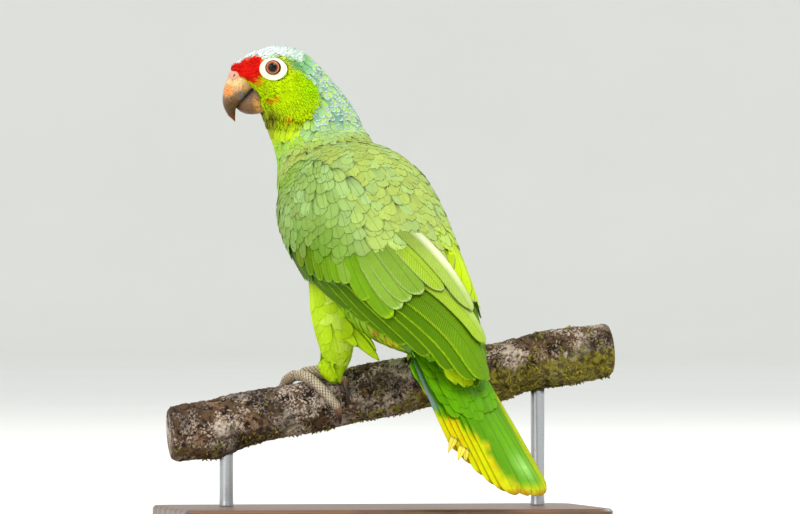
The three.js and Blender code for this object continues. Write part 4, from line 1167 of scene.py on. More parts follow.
# Name, place, size, power and colour.
LIGHTS = [
    ("key", (-2.6, 0.2, 3.0), 1.6, 88, (1.0, 0.98, 0.94)),
    ("fill", (-1.2, 3.4, 1.3), 2.2, 36, (0.97, 0.99, 1.0)),
    ("rim", (1.2, -3.0, 2.4), 1.4, 40, (1.0, 0.99, 0.94)),
    ("front", (3.2, 1.6, 1.8), 2.0, 28, (1.0, 1.0, 1.0)),
]
FLOOR_EDGE, FLOOR_BEND, WALL_TOP = 10, 1.6, 3.0  # metres
SKY, SKY_STRENGTH = (0.96, 0.98, 1.0, 1), 0.92


def make_camera():
    """A level camera behind and left of the bird, six metres off."""
    data = bpy.data.cameras.new("camera")
    data.sensor_width, data.lens, data.clip_end = 36, CAMERA_LENS, 60
    camera = placed("camera", data)
    camera.location = (CAMERA_AIM + CAMERA_SIDE * CAMERA_DISTANCE) * MM
    camera.rotation_euler = Vector(-CAMERA_SIDE).to_track_quat("-Z", "Y").to_euler()
    bpy.context.scene.camera = camera


def make_light(name, place, size, power, colour):
    """A square soft light that faces the bird."""
    data = bpy.data.lights.new(name, "AREA")
    data.shape, data.size, data.energy, data.color = "SQUARE", size, power, colour
    lamp = placed(name, data)
    lamp.location = place
    lamp.rotation_euler = (Vector(LIGHTS_AIM) - Vector(place)).to_track_quat("-Z", "Y").to_euler()


def make_studio():
    """A pale floor that curves up far out into a low round wall, as a profile turned about the
    upright axis; soft lights; a pale sky of one colour."""
    bend = np.linspace(0, math.pi / 2, 12)
    out = [[0.4, 2, 4, 7, FLOOR_EDGE], FLOOR_EDGE + FLOOR_BEND * np.sin(bend[1:]), [FLOOR_EDGE + FLOOR_BEND]]
    rise = [[0] * 5, FLOOR_BEND - FLOOR_BEND * np.cos(bend[1:]), [WALL_TOP]]
    out, rise = np.concatenate(out) * 1000, np.concatenate(rise) * 1000
    turn = circle(96)
    rings = stack(out[:, None] * np.cos(turn), out[:, None] * np.sin(turn),
                      rise[:, None] + 0 * turn)
    index = np.arange(rings.shape[0] * 96).reshape(-1, 96)
    quads = quads_of(index)[:, ::-1]
    disc = stack(np.full(96, index.size), index[0], np.roll(index[0], -1))
    points = np.vstack([rings.reshape(-1, 3), [[0, 0, 0]]])
    f = Finish("studio_floor")
    colour = f.mix(f.noise(400), rgb(232, 232, 227), rgb(238, 238, 233))
    mesh = mesh_of("floor", points, [quads, disc])
    mesh.materials.append(f.done(colour, 0.8))
    floor = placed("floor", mesh)
    for light in LIGHTS:
        make_light(*light)
    world = bpy.data.worlds.new("studio")
    world.use_nodes = True
    sky = world.node_tree.nodes["Background"].inputs
    sky[0].default_value, sky[1].default_value = SKY, SKY_STRENGTH
    bpy.context.scene.world = world
    bpy.context.scene.view_settings.view_transform = "Standard"


# ---- perch geometry
PERCH_FOOT = np.array([22.0, 20.0, 0.0])
PERCH_WAY = unit(np.array([-0.407, -0.914, 0.0]))
PERCH_SIDE = np.cross(PERCH_WAY, UP)
PERCH_RADIUS = 15.8
PERCH_ENDS = (-95, 165)
MOSS_LEAVES = 3400
PERCH_HEIGHTS = [(-95, 53.5), (-40, 65), (-8, 71.6), (39, 82.4), (110, 94.2), (165, 103.6)]


def perch_axis(u):
    """The branch's middle at a distance u along it: level run, with its height on a polyline."""
    u = np.asarray(u, float)
    point = PERCH_FOOT + u[..., None] * PERCH_WAY
    return point + (polyline(u, *PERCH_HEIGHTS))[..., None] * UP


def beside_perch(u, angle, out):
    """A point beside the branch: along it, round it from the top towards the tail side, out."""
    u, angle, out = arrays(u, angle, out)
    f = np.radians(angle)
    rise = unit(perch_axis(u + 10) - perch_axis(u - 10))
    up = np.cross(PERCH_SIDE, rise)
    up = up * np.sign(up[..., 2:])
    reach = (PERCH_RADIUS + out)[..., None]
    return perch_axis(u) + reach * (unit(up) * np.cos(f)[..., None] + PERCH_SIDE * np.sin(f)[..., None])


def bark_round(u, f):
    """The branch's uneven round: slow bulges and three old knots."""
    bulge = 0.7 * np.sin(u / 17 + 2 * f) + 0.5 * np.sin(u / 9 - 3 * f)
    knot = lambda at, turn, size: size * np.exp(
        -(((u - at) / 11) ** 2) - ((np.cos(f - np.radians(turn)) - 1) * 3) ** 2)
    return np.minimum(bulge + knot(96, 150, 3.4) + knot(-70, 200, 2.6) + knot(140, 60, 2.4), 4)


# ---- eyes, lids and ring
def eye_centre(side):
    """The middle of an eye: straight out from between the eyes."""
    return head_point(0, side * EYE_INSET, 0)


def eye_axis(side):
    """Straight out to a side, turned forward."""
    turn = math.radians(EYE_TURN)
    return side * HEAD_LEFT * math.cos(turn) + HEAD_FORWARD * math.sin(turn)


def head_side(forward, up):
    """How far out the head's side is at (forward, up), from its level slices."""
    t = np.linspace(9.01, BODY_END, 400)
    table = smooth(BODY, t)
    mid = dot(table[:, :3] - EYES_MIDDLE, HEAD_FORWARD)
    at = lambda column: np.interp(up, table[:, 2] - EYES_MIDDLE[2], column)
    across = (forward - at(mid)) / at(table[:, 5])
    return at(table[:, 6]) * np.sqrt(np.clip(1 - across**2, 0.02, 1))


def make_eye(side, name):
    """A ball about the eye's axis: latitude rings from the front pole to the back one."""
    axis = eye_axis(side)
    level = unit(np.cross(UP, axis))
    high = np.cross(axis, level)
    lat = np.linspace(0.05, np.pi - 0.05, 40)[:, None, None]
    lon = circle(64)[None, :, None]
    # a cornea that bulges a little over the middle
    radius = EYE_RADIUS * (1 + CORNEA * hill(lat, 0, 0.55))
    ball = eye_centre(side) + radius * (np.cos(lat) * axis + np.sin(lat) * (np.cos(lon) * level
                                                                          + np.sin(lon) * high))
    tip = eye_centre(side) + EYE_RADIUS * (1 + CORNEA) * axis
    surface = shell(ball, tip, eye_centre(side) - EYE_RADIUS * axis)
    make_piece(name, surface, eye_material(side), (name,))


RING_CENTRE = (0.0, -0.9)
LID = (4.1, 4.0)
LID_FORWARD = 0.6


def ring_edge(angle):
    """The bare ring's outline: an ellipse drawn out to a soft corner at the back."""
    point = 1 + 0.07 * hill(angle, np.pi, 0.4)
    return np.where(np.cos(angle) > 0, 8.3, 7.7) * np.cos(angle) * point, 6.8 * np.sin(angle)


def make_ring(side, name, material):
    """Bare skin round the eye: from the lid's edge, on the eyeball, out to the outline, on the
    head, with a rounded lid roll, circling folds and a turned-in outer edge. r runs 0 to 1."""
    angle = circle(120)[None, :]
    r = np.concatenate([np.linspace(0, 0.3, 14), np.linspace(0.34, 0.9, 16), [0.93, 0.96, 0.98, 1]])[:, None]
    edge_f, edge_u = ring_edge(angle)
    lid_f, lid_u = LID[0] * np.cos(angle) + LID_FORWARD, LID[1] * np.sin(angle)
    f = lid_f * (1 - r) + (edge_f + RING_CENTRE[0]) * r
    up = lid_u * (1 - r) + (edge_u + RING_CENTRE[1]) * r
    lid = EYE_INSET + np.sqrt(EYE_RADIUS**2 - lid_f**2 - lid_u**2) + 0.3
    ball = EYE_INSET + 0.3 + np.sqrt(np.maximum(EYE_RADIUS**2 - f**2 - up**2, 0))
    out = np.maximum(lid + (head_side(f, up) - lid) * step(r, 0, 0.8), ball)
    out = out + 0.45 * hill(r, 0.12, 0.08) - 0.8 * (1 - step(r, 0, 0.06))
    out = out + 0.3 * step(r, 0.3, 0.7) - 1.6 * step(r, 0.92, 1.0)
    out = out + 0.09 * np.sin(r * 30 + 0.8 * np.sin(3 * angle)) * step(r, 0.2, 0.4)
    front = head_point(f, side * out, up)
    back = head_point(f, side * (out - 2.2), up)[::-1]
    rows = np.concatenate([front, back])
    index = np.arange(rows.shape[0] * 120).reshape(-1, 120)
    quads = quads_of(np.vstack([index, index[:1]]))
    points = rows.reshape(-1, 3)
    fold = np.concatenate([r + 0 * angle, (r + 0 * angle)[::-1]]).reshape(-1, 1)
    make_piece(name, (points, outward(points, [quads]), None), material,
               marks={"ring": np.repeat(fold, 3, 1)})


# ---- bill and cere
UPPER_BILL = {
    "ridge": [[13.5, 1], [23.3, -4.5], [26.6, -11], [27.7, -17.5], [27, -23], [24.4, -28]],
    "edge": [[3, -8.4], [10.8, -12.5], [14.2, -16.9], [17.6, -20.7], [20, -23.6], [20.4, -27.7]],
    "half": [8.6, 8.8, 8, 6.6, 4.6, 2.4],
    "point": [20.3, -31.6],
}
LOWER_BILL = {
    "ridge": [[3, -8], [9.8, -11.6], [14.4, -16.3], [17.8, -20]],
    "edge": [[1, -25], [7.5, -27], [13, -27.1], [17.3, -25.6]],
    "half": [8, 8.4, 7.4, 5],
    "point": [19.8, -23.4],
}


def bill_surface(form, rows, sides, steep, notch):
    """Half a bill: at each place along it a rounded section between ridge and lower edge, whose
    width is its half width times a sine raised to less than one; the power is smaller, and the
    side steeper, towards the mouth (steep: 1 for the upper edge, -1 for the lower); past the
    last section it narrows to the point."""
    last = len(form["ridge"]) - 1
    t = np.linspace(0, last, rows)[:, None]
    f = circle(sides)[None, :]
    ridge, edge = (smooth(form[key], t[:, 0])[:, None] for key in ("ridge", "edge"))
    half = smooth(np.array(form["half"])[:, None], t[:, 0])
    reach = np.cos(f)
    middle, along = (ridge + edge) / 2, (ridge - edge) / 2
    power = np.where(reach * steep > 0, 0.45, 0.82)
    wide = half * np.sign(np.sin(f)) * np.abs(np.sin(f)) ** power
    at = middle + along * reach[..., None]
    at[..., 1] += notch * hill(t, 2.1, 0.35) * np.clip(-reach, 0, 1)
    rings = head_point(at[..., 0], wide, at[..., 1])
    # the point: four more rings that close on it
    tip = head_point(form["point"][0], 0, form["point"][1])
    more = [rings[-1] * (1 - k) + tip * k for k in (0.3, 0.58, 0.8, 0.93)]
    return np.concatenate([rings, np.stack(more)]), tip


def make_bill():
    """Both halves, and between them the mouth's dark inside, kept near-black as painted shadow of
    the gap: elliptic sections midway between the upper half's lower edge and the lower half's upper one."""
    for name, form, steep, notch in (("bill_upper", UPPER_BILL, -1, 0.7), ("bill_lower", LOWER_BILL, 1, 0)):
        rings, tip = bill_surface(form, 44, 48, steep, notch)
        make_piece(name, shell(rings, None, tip), horn_material(name + "_horn", name == "bill_lower"),
                   (name,))
    s = np.linspace(0.1, 0.97, 30)
    middle = (smooth(UPPER_BILL["edge"], 3.3 * s) + smooth(LOWER_BILL["ridge"], 3 * s)) / 2
    half = smooth(np.array(LOWER_BILL["half"])[:, None], 3 * s) - 1.1
    f = circle(32)
    rings = head_point(middle[:, :1], half * np.cos(f), middle[:, 1:] + 1.5 * np.sin(f))
    # painted shadow: the near-black inside of the mouth fills the gap between the bills
    mouth_shadow = Finish("mouth_lining_shadow")
    material = mouth_shadow.done(mouth_shadow.mix(mouth_shadow.noise(1.5), rgb(20, 13, 12), rgb(34, 22, 20)), 0.7)
    make_piece("mouth_lining_shadow", shell(rings), material)


def make_cere():
    """A fleshy band over the bill's root: a flat tube along an arch from side to side, thicker
    at the sides, creased, and pitted at each nostril by a Gaussian dip."""
    turn = np.linspace(-1, 1, 81)
    away = np.abs(turn)
    spine = head_point(22.8 - 3.2 * turn**2, 7.6 * np.sin(turn * math.radians(88)), -3 - 3.4 * away**1.6)
    ahead = unit(np.gradient(spine, axis=0))
    out = unit(spine - head_point(13, 0, -10))
    side = unit(np.cross(ahead, out))
    f = circle(40)
    taper = np.sqrt(np.clip(1 - (away / 1.001) ** 6, 0, 1))
    high = (1.0 + 1.0 * step(away, 0.3, 0.72)) * taper
    wide = (2.0 + 1.0 * step(away, 0.2, 0.7)) * taper
    spot = blot(away[:, None], np.angle(np.exp(1j * f)), 0.72, 0, 0.07, 0.5)
    crease = 0.12 * np.sin(turn * 46)[:, None] * np.clip(np.cos(f), 0, 1)
    rise = (high[:, None] + crease * taper[:, None] - 1.3 * spot) * np.cos(f)
    rings = (spine[:, None] + rise[..., None] * out[:, None]
             + (wide[:, None] * np.sin(f))[..., None] * side[:, None])
    # the nostril mask, which the cere's finish darkens as painted shade
    mark = np.concatenate([spot.ravel(), [0, 0]])[:, None]
    make_piece("cere", shell(rings), cere_material(), ("cere",),
               {"ring": np.repeat(mark, 3, 1)})


# ---- legs and feet
LEG_LINE = [[20, 24, 147], [13, 25.5, 126], [10.5, 24.5, 108], [13.5, 22.5, 96]]
LEG_RADII = [12.5, 13.5, 11.4, 8, 5.9, 6.3]
LEG_OVERHANG = 38
FEET = {"left": (1, 0), "right": (-1, 55)}
ANKLE_ANGLE, ANKLE_OUT = 26, 6.5
TOES = {
    1: ((-6, 16), (7, 56), 2.5),
    2: ((-13, -4), (-5, -84), 2.7),
    3: ((-17, -2), (-29, -88), 2.9),
    4: ((-17, 4), (0, 103), 2.9),
}
CLAW_TURN, CLAW_RISE, CLAW_TIP = 50, 1.2, 0.9
SHANK_RADIUS, LOZENGE = 3.4, 2.3


def leg_surface(side, centre):
    """A feathered leg: a round section about a smooth line from belly to ankle, place s from 0
    to 4 and the angle from the front; past the ankle, up to place 5, the line bends round the
    branch and the section closes, for the feathers that hang over the foot."""
    shift = perch_axis(centre) - perch_axis(0)
    line = []
    for i, (x, y, z) in enumerate(LEG_LINE):
        follow = i / 4
        across = y if side > 0 else -y * (1 - follow) + (y + shift[1]) * follow
        line.append([x + follow * shift[0], across, z + follow * shift[2]])
    line.append(list(beside_perch(centre, ANKLE_ANGLE, ANKLE_OUT)))
    line.append(list(beside_perch(centre + side * 3, ANKLE_ANGLE + LEG_OVERHANG, ANKLE_OUT)))
    table = np.hstack([np.array(line, float), np.array(LEG_RADII, float)[:, None]])

    def surface(s, angle, lift=0.0):
        s, angle, lift = arrays(s, angle, lift)
        past = np.clip(s - 4, 0, 1)[..., None]
        here = smooth(table, np.minimum(s, 5))
        run = unit(smooth(table, np.clip(s + 0.05, 0, 5))[..., :3]
                   - smooth(table, np.clip(s - 0.05, 0, 5))[..., :3])
        ahead = unit(np.array([1.0, 0, 0]) - run[..., :1] * run)
        left = np.cross(run, ahead)
        f = np.radians(angle)
        return here[..., :3] + (here[..., 3:] + lift[..., None]) * (1 - 0.8 * past**2) * (
            np.cos(f)[..., None] * ahead + np.sin(f)[..., None] * left)
    return surface


def tube(path, outs, radii, sides, flat=1.0, scales=0.0):
    """Round sections about a path, one axis kept towards outs; scales raises a net of lozenge
    scales by the root of two crossed sine waves' product. Returns a shell and each point's
    distance along, how far it faces outs and the scales' height."""
    ahead = unit(np.gradient(path, axis=0))
    side = unit(np.cross(ahead, outs))
    high = np.cross(side, ahead)
    f = circle(sides)
    run = distance(path)
    rows = np.pi * run[:, None] / LOZENGE
    net = np.sqrt(np.abs(np.sin(rows + 4 * f) * np.sin(rows - 4 * f)))
    radii = radii[:, None] + scales * net * np.clip(radii[:, None] - 1, 0, 1)
    rings = path[:, None] + radii[..., None] * (
        np.cos(f)[None, :, None] * high[:, None] * flat + np.sin(f)[None, :, None] * side[:, None])
    points, faces, place = shell(rings, path[0], path[-1])
    marks = stack(np.repeat(run, sides), np.tile(np.cos(f), len(path)), net.ravel())
    return (points, faces, place), np.vstack([marks, [[0, 0, 0], [run[-1], 0, 0]]])


def round_ends(n, share):
    """A profile that is one in the middle and closes like a quarter circle at each end."""
    s = np.linspace(0, 1, n)
    near = np.clip(np.minimum(s, 1 - s) / share, 0, 1)
    return np.sqrt(np.maximum(1 - (1 - near) ** 2, 0.02))


def make_tubes(name, tubes, material, replaces):
    """Several tubes as one piece."""
    parts, marks = zip(*tubes)
    make_piece(name, merged(parts), material, replaces, {"scute": np.vstack(marks)})


def make_foot(name, side, centre, material, claw):
    """Shank and four toes: tubes that wrap the branch, each toe with pads that swell between
    its joints; and the four claws, hooked tubes that taper to a point."""
    knuckle = beside_perch(centre + side * -15, 0, 3.6)
    ankle = beside_perch(centre, ANKLE_ANGLE, ANKLE_OUT - 1.5)
    s = np.linspace(0, 1, 60)[:, None]
    path = ankle * (1 - s) + knuckle * s
    toes, claws = [tube(path, all_of(UP, 60), SHANK_RADIUS * round_ends(60, 0.2), 28, scales=0.3)], []
    for start, end, radius in TOES.values():
        s = np.linspace(0, 1, 120)
        along = start[0] + (end[0] - start[0]) * s
        angle = start[1] + (end[1] - start[1]) * s
        lift = radius + 0.3 + 0.5 * np.sin(np.pi * s)
        path = beside_perch(centre + side * along, angle, lift)
        outs = unit(beside_perch(centre + side * along, angle, 30) - path)
        pads = 1 + 0.06 * np.cos(s * 2 * np.pi * 3) + 0.025 * np.abs(np.sin(s * 2 * np.pi * 7))
        radii = radius * (1.05 - 0.25 * s) * pads * round_ends(120, 0.09)
        toes.append(tube(path, outs, radii, 28, scales=0.5))
        way = math.copysign(1, end[1])
        k = np.linspace(0, 1, 34)
        hook = radius * (1 - k) + CLAW_TIP * k + CLAW_RISE * np.sin(np.pi * k)
        bend = end[1] + way * (CLAW_TURN * k - 6)
        path = beside_perch(centre + side * end[0] + 0 * k, bend, hook)
        outs = unit(beside_perch(centre + side * end[0] + 0 * k, bend, 30) - path)
        claws.append(tube(path, outs, 1.9 * (1 - k) ** 0.62 + 0.12, 18, flat=1.05))
    make_tubes(f"foot_{name}", toes, material, (f"foot_{name}",))
    make_tubes(f"claws_{name}", claws, claw, [f"claw_{name}_{i}" for i in TOES])


# ---- the skin
def make_skin(legs):
    """One skin for trunk, neck, head and legs, inside the solids by the coat's depth."""
    t = np.concatenate([np.linspace(-0.9, 6, 70), np.linspace(6.05, BODY_TOP - 0.06, 110)])
    angle = circle(120, 360)
    grid_t, grid_a = grid(t, angle)
    rings = body_point(grid_t, grid_a, -COAT_DEPTH)
    f, left, up = in_head(rings)
    # sockets, so that the skin stays behind the eyes
    socket = np.exp(-((np.hypot(f, up) / 5.5) ** 4)) * (np.abs(left) > 8)
    rings = rings - (np.sign(left) * 3.0 * socket)[..., None] * HEAD_LEFT
    body = shell(rings)
    tint = body_markings(body[0], np.concatenate([grid_t.ravel(), [0, BODY_TOP]]),
                         np.concatenate([grid_a.ravel(), [0, 0]]))[0]
    parts, tints = [body], [tint]
    for surface in legs:
        s, a = grid(np.linspace(0, 4.8, 60), circle(48, 360))
        part = shell(surface(s, a, -COAT_DEPTH))
        parts.append(part)
        tints.append(all_of(THIGH, len(part[0])))
    tint = np.vstack(tints)
    tint = np.hstack([tint, np.ones((len(tint), 1))])
    make_piece("body_skin", merged(parts), skin_material(),
               ("torso", "neck", "head", "leg_left", "leg_right"), {"tint": tint}, True)


# ---- the coat
def head_lie(points):
    """Which way head feathers point: back over the crown, and back and down elsewhere."""
    f, _, up = in_head(points)
    down = 1.1 * step(-f, -12, 16) * step(-up, -12, 4) + 1.4 * step(-up, 16, 28)
    return -HEAD_FORWARD - down[:, None] * UP


def back_rise(t, angle):
    """How far the coat stands over the trunk to meet the wings' level: over the mid-back below,
    and over the shoulders too above, where it covers the wings' upper ends like a cape."""
    turn = from_back(angle)
    height = 4.2 * hill(t, 3.4, np.where(t > 3.4, 1.15, 1.9))
    cape = step(t, 4.5, 5.2)
    over = step(turn, 88, 40) * (1 - cape) + step(turn, 118, 92) * cape
    return over * height


def coat_surface(t, angle, lift=0.0):
    """The body's surface with the back raised to the wings' level."""
    return body_point(t, angle, lift + back_rise(t, angle))


# The body coat's regions: feather shape, first and last place, gaps by place, spacing along over
# the gap, length and width over the gap, rise, splay and dark outline.
REGIONS = {
    "face": (HAIR, 7.4, 14.97, [(7, 1.7), (9, 1.15), (12, 0.95), (15, 1.15)], 1.0, 3.9, 1.25, 0.3, 0.15, 0.0),
    "crown": (FINE, 9.5, 14.9, [(9, 1.9), (12, 1.7), (15, 1.9)], 1.15, 2.7, 1.35, 0.55, 0.17, 0.2),
    "nape": (SCALE, 7.3, 14.9, [(7, 3.3), (8.5, 2.8), (11, 2.4), (13, 2.2)], 1.3, 3.0, 1.5, 0.45, 0.14, 0.6),
    "neck": (SCALE, 5.6, 9.6, [(5.6, 4.2), (7, 3.4), (9, 2.8)], 1.1, 2.9, 1.6, 0.3, 0.12, 0.15),
    "back": (SCALE, 1.2, 5.9, [(1, 5.4), (3, 6.2), (4.6, 5.6), (5.8, 4.6)], 1.05, 2.7, 1.7, 0.35, 0.14, 0.0),
    "breast": (SCALE, 0.15, 5.9, [(0, 4.2), (2, 4.9), (5, 4.9), (6, 4.1)], 1.1, 2.5, 1.6, 0.9, 0.1, 0.0),
}


def region_of(points, t, angle):
    """The coat region of each root, as a position in REGIONS."""
    f, _, up = in_profile(points)
    ragged = ripple(points, 6, 51)
    behind = f < cheek_back(up) + ragged
    head = np.where(behind, 2, np.where(up > crown_low(f) - 0.8, 1, 0))
    head = np.where((up < -34 + 3 * ragged) & (behind | (up < -45)), 3, head)
    trunk = np.where(from_back(angle) < 88 + 20 * step(t, 4.6, 5.2), 4, 5)
    return np.where(t > 5.8, np.where(t > 7.4, head, 3), trunk)


def lay_body(material):
    """The coat of head, neck, back and breast, a piece for each region; nothing grows on the
    bill or under the wings, and feathers that would reach over the eye ring end at its edge."""
    shares = np.linspace(0, 1, 11)[:, None, None]
    for k, (name, region) in enumerate(REGIONS.items()):
        shape, start, end, gaps, stretch, long, wide, rise, splay, outline = region
        coat = Coat(f"coat_{name}", 40 + k)
        t, a, g = scatter(coat_surface, start, end, lambda t: polyline(t, *gaps), coat.rng, 0.08, stretch)
        at = body_point(t, a)
        f, left, up = in_head(at)
        keep = region_of(at, t, a) == k
        # the bill, and under the wings
        keep &= ~(((left / 8.7) ** 4 + ((up + 14.3) / 12.2) ** 4 < 1) & (f > 3) & (t > 8))
        turn = from_back(a)
        inner, outer = wing_edges(6 - t)
        keep &= ~((t > 1.3) & (t < 5.02) & (turn > inner + 16) & (turn < outer - 12))
        head = step(t, 7.0, 8.6)
        _, _, along, _ = frame_at(body_point, t, a)
        way = unit(unit(-along) * (1 - head)[:, None] + unit(head_lie(at)) * head[:, None])
        length = g * long
        spot_f, _, spot_up = in_head(at + shares * way * length[:, None])
        inside = (np.hypot((spot_f - RING_CENTRE[0]) / 8.1, (spot_up - RING_CENTRE[1]) / 6.7) < 1) & (t > 9)
        reach = np.where(inside.any(0), shares[:, 0, 0][inside.argmax(0)], 1)
        length = length * reach
        keep &= reach > 0.25
        tint, rim, strength = body_markings(at, t, a)
        root = stack(0.004 + 0.99 * (a % 360) / 360, 0.004 + 0.99 * t / BODY_TOP)
        lift = -COAT_DEPTH + 0.3 + 0.55 * head
        t, a, way, length, g, lift, tint, rim, strength, root = (
            v[keep] for v in (t, a, way, length, g, lift, tint, rim, strength, root))
        lay(coat, coat_surface, t, a, way, length, g * wide, lift, rise, shape, (tint, rim, strength), root,
            splay=splay, outline=outline * strength, close=name in ("nape", "neck", "back", "breast"))
        coat.write(material, "plumage")


def plane_of(origin, down, out):
    """A flat surface: a place is so far down, so far to the side, and lifted along out."""
    side = np.cross(down, out)

    def surface(along, across, lift=0.0):
        parts = arrays(along, across, lift)
        return np.asarray(origin) + sum(v[..., None] * axis for v, axis in zip(parts, (down, side, out)))
    return surface


# Flank feathers that hang free behind each leg: start and end beside one line, and width.
TUFT_ROOT, TUFT_TIP = np.array([1.0, 27, 121]), np.array([-11.5, 9.5, 97.5])
TUFT = [(-16, -9, 4, -11, 11), (-15, 0, 6, -1, 11), (-14, -16, 6, -17, 11), (-11, -8, 9, -9, 11),
        (-9, 3, 11, 3, 11), (-6, -5, 16, -6, 9), (-4, 3, 18, 4, 9), (0, -2, 27, -2.5, 8),
        (2, 0.5, 32.5, 0, 8)]


def lay_legs(surfaces, material):
    """Leg feathers, pointing down, large and soft on the thigh; the lowest hang over the ankle,
    and a pointed tuft hangs free behind."""
    for (name, surface), seed, side in zip(surfaces.items(), (61, 62), (1, -1)):
        coat = Coat(f"coat_leg_{name}", seed)
        gap = lambda s: polyline(s, (0, 7.6), (2, 6.6), (3.2, 4.6), (4, 3.1), (4.6, 2.4))
        t, a, g = scatter(surface, 0.0, 4.55, gap, coat.rng, 0.14)
        _, _, along, _ = frame_at(surface, t, a)
        at = surface(t, a)
        tint = blend(THIGH, THIGH_LOW, step(t + 0.3 * ripple(at, 9, 8), 2, 3.6))
        # painted highlight: pale patches over the upper thigh
        tint = blend(tint, THIGH_HIGHLIGHT, 0.6 * step(ripple(at, 9, 9), 0.1, 0.9) * step(-t, -3, -1.5))
        rim = all_of(THIGH_RIM, len(t))
        root = stack(0.004 + 0.99 * (a % 360) / 360, 0.01 + 0.98 * t / 5)
        length = g * polyline(t, (3, 2.7), (4, 3), (4.5, 2.3))
        lay(coat, surface, t, a, unit(along), length, g * 1.6, -COAT_DEPTH + 0.5, 0.5, COVERT,
            (tint, rim, 0.35 + 0 * t), root, close=True)
        line = TUFT_TIP - TUFT_ROOT
        mirror = np.array([1, side, 1])
        plane = plane_of(TUFT_ROOT * mirror, unit(line) * mirror, unit(np.array([-0.83, 0.56, 0.1])) * mirror)
        for shape, feathers in ((COVERT, TUFT[:5]), (POINTED, TUFT[5:])):
            roots, tips, wide = spans(feathers)
            roots[:, 1] *= side
            tips[:, 1] *= side
            n = len(roots)
            vanes(coat, plane, roots, tips, wide, (-1, 0.4), shape, tilt=0.3, stagger=0.3,
                  marks=(blend(THIGH, THIGH_LOW, np.linspace(0, 0.8, n)), all_of(THIGH_RIM, n), 0.5),
                  root=stack(0.5 + roots[:, 1] / 90, 0.4 + roots[:, 0] / 120))
        coat.write(material, "plumage")


# ---- wings
WING_SEEDS = {1: 70, -1: 80}
# Rows of wing feathers from belly side to back: where each comes out from under the row above
# and where its tip lies, as (t, angle) on the mantle, and its width.
FLIGHTS = [
    (2.58, 117.6, 3.97, 93.9, 9), (2.98, 103.6, 4.27, 90.4, 9), (3.21, 93.2, 4.55, 86.1, 9.5),
    (3.39, 84.6, 4.82, 79.3, 10), (3.54, 75.4, 5.25, 64, 11), (3.69, 66.5, 5.92, 37.7, 12),
    (3.84, 60.1, 6.41, 3.9, 14), (4.13, 39.4, 6.39, -31.3, 20),
]
INNER_FLIGHT = [(4.2, 20, 6.15, -52, 18)]
GREATER_COVERTS = [
    (2.43, 95, 2.72, 109.3, 8.5), (2.6, 89.3, 3, 104.5, 8.5), (2.78, 83.8, 3.24, 98, 8.5),
    (2.93, 77.8, 3.42, 90.5, 8.5), (3.08, 71.3, 3.56, 83.5, 9), (3.21, 66, 3.69, 77.3, 10),
    (3.2, 61, 4.1, 72.5, 12), (3.22, 57.3, 4.47, 67.3, 14), (3.35, 50, 4.45, 54, 13),
    (3.4, 43.8, 4.42, 42.8, 14), (3.42, 34, 4.4, 29, 15), (3.48, 22, 4.42, 8, 14),
]
EDGE_COVERTS = [(1.95, 128, 2.65, 134, 7), (2.14, 118.5, 2.87, 119.5, 7.5), (2.3, 111, 3, 112, 8)]
TERTIALS = [(4.05, 20, 5.27, -34.8, 18), (3.3, 11, 4.71, -20, 17)]
# The last place that the small coverts' tips reach, by angle on the mantle.
COVERTS_END = [(-60, 4.4), (-12, 4.1), (0, 3.85), (10, 3.7), (20, 3.65), (44, 3.58), (57, 3.42), (71, 3.2),
               (84, 2.88), (95, 2.55), (110, 2.4), (125, 2.3), (140, 2.2)]


def wrist_drop(t):
    """How far the wing turns in at its upper end: a power of how near the end is."""
    return 4.6 * np.clip(1 - (t - 0.85) / 0.8, 0, 1) ** 1.3


def wing_core(side):
    """The folded wing under its feathers: a plate that hugs the body, its face eased down
    towards both edges, over a grid of place and share from inner to outer edge."""
    t = np.linspace(WING_PLACES[0] + 0.02, 4.9, 46)[:, None]
    q = np.linspace(0, 1, 30)[None, :]
    inner, outer = wing_edges(t)
    angle = inner + 3 + (outer - 3 - (inner + 3)) * q
    thick = np.interp(t, [0.75, 3.4, 4.2, 5], [13, 10, 4, 2])
    thick = np.minimum(thick, np.interp(angle, [2, 18], [3.2, 13]))
    drop = 2.1 + 6.0 * np.abs(2 * q - 1) ** 8 * np.clip((4.6 - t) / 2, 0, 1) * step(q, 0.4, 0.6)
    drop = drop + 1.2 * np.abs(2 * q - 1) ** 8 + wrist_drop(t)
    surface = mantle_of(side)
    top = surface(t, angle, -drop)
    bottom = surface(t, angle, -np.maximum(thick, drop + 0.6))
    rows = np.concatenate([top, bottom[:, ::-1]], axis=1)
    return shell(rows)


def wing_gap(t, angle):
    """The spacing of the wing's small coverts: fine at the wrist and the leading edge."""
    gap = polyline(t, (0.7, 2.6), (1.1, 3.4), (1.5, 4.5), (1.9, 5.7), (2.4, 6.8), (3, 7.4), (4, 7.4))
    return gap * (1 - 0.4 * step(angle, 100, 118)) * (1 - 0.3 * step(angle, 78, 100) * step(-t, -2, -1))


def covert_places(surface, rng):
    """Roots of the small coverts: rows a gap apart down the wing, and in each row the places
    where the running sum of distance over gap passes whole numbers, half off in every other."""
    fine = np.linspace(0.8, 4.2, 400)
    pace = np.linalg.norm(np.gradient(surface(fine, 60 + 0 * fine), fine, axis=0), axis=-1)
    run = np.cumsum(pace * (fine[1] - fine[0]) / (0.82 * wing_gap(fine, 60)))
    rows, places = np.interp(np.arange(0.2, run[-1]), run, fine), []
    for k, t in enumerate(rows):
        inner, outer = wing_edges(t)
        angle = np.linspace(inner + 2, outer + 0.06 * (outer - inner), 200)
        line = surface(np.full(200, t), angle)
        walk = np.linalg.norm(np.diff(line, axis=0), axis=-1) / wing_gap(t, 0.5 * (angle[1:] + angle[:-1]))
        walk = np.concatenate([[0], np.cumsum(walk)])
        spots = np.arange(0.25 + 0.5 * (k % 2), walk[-1])
        spots = spots + rng.uniform(-0.16, 0.16, len(spots))
        places.append(stack(t + rng.uniform(-0.02, 0.02, len(spots)), np.interp(spots, walk, angle)))
    return np.vstack(places).T


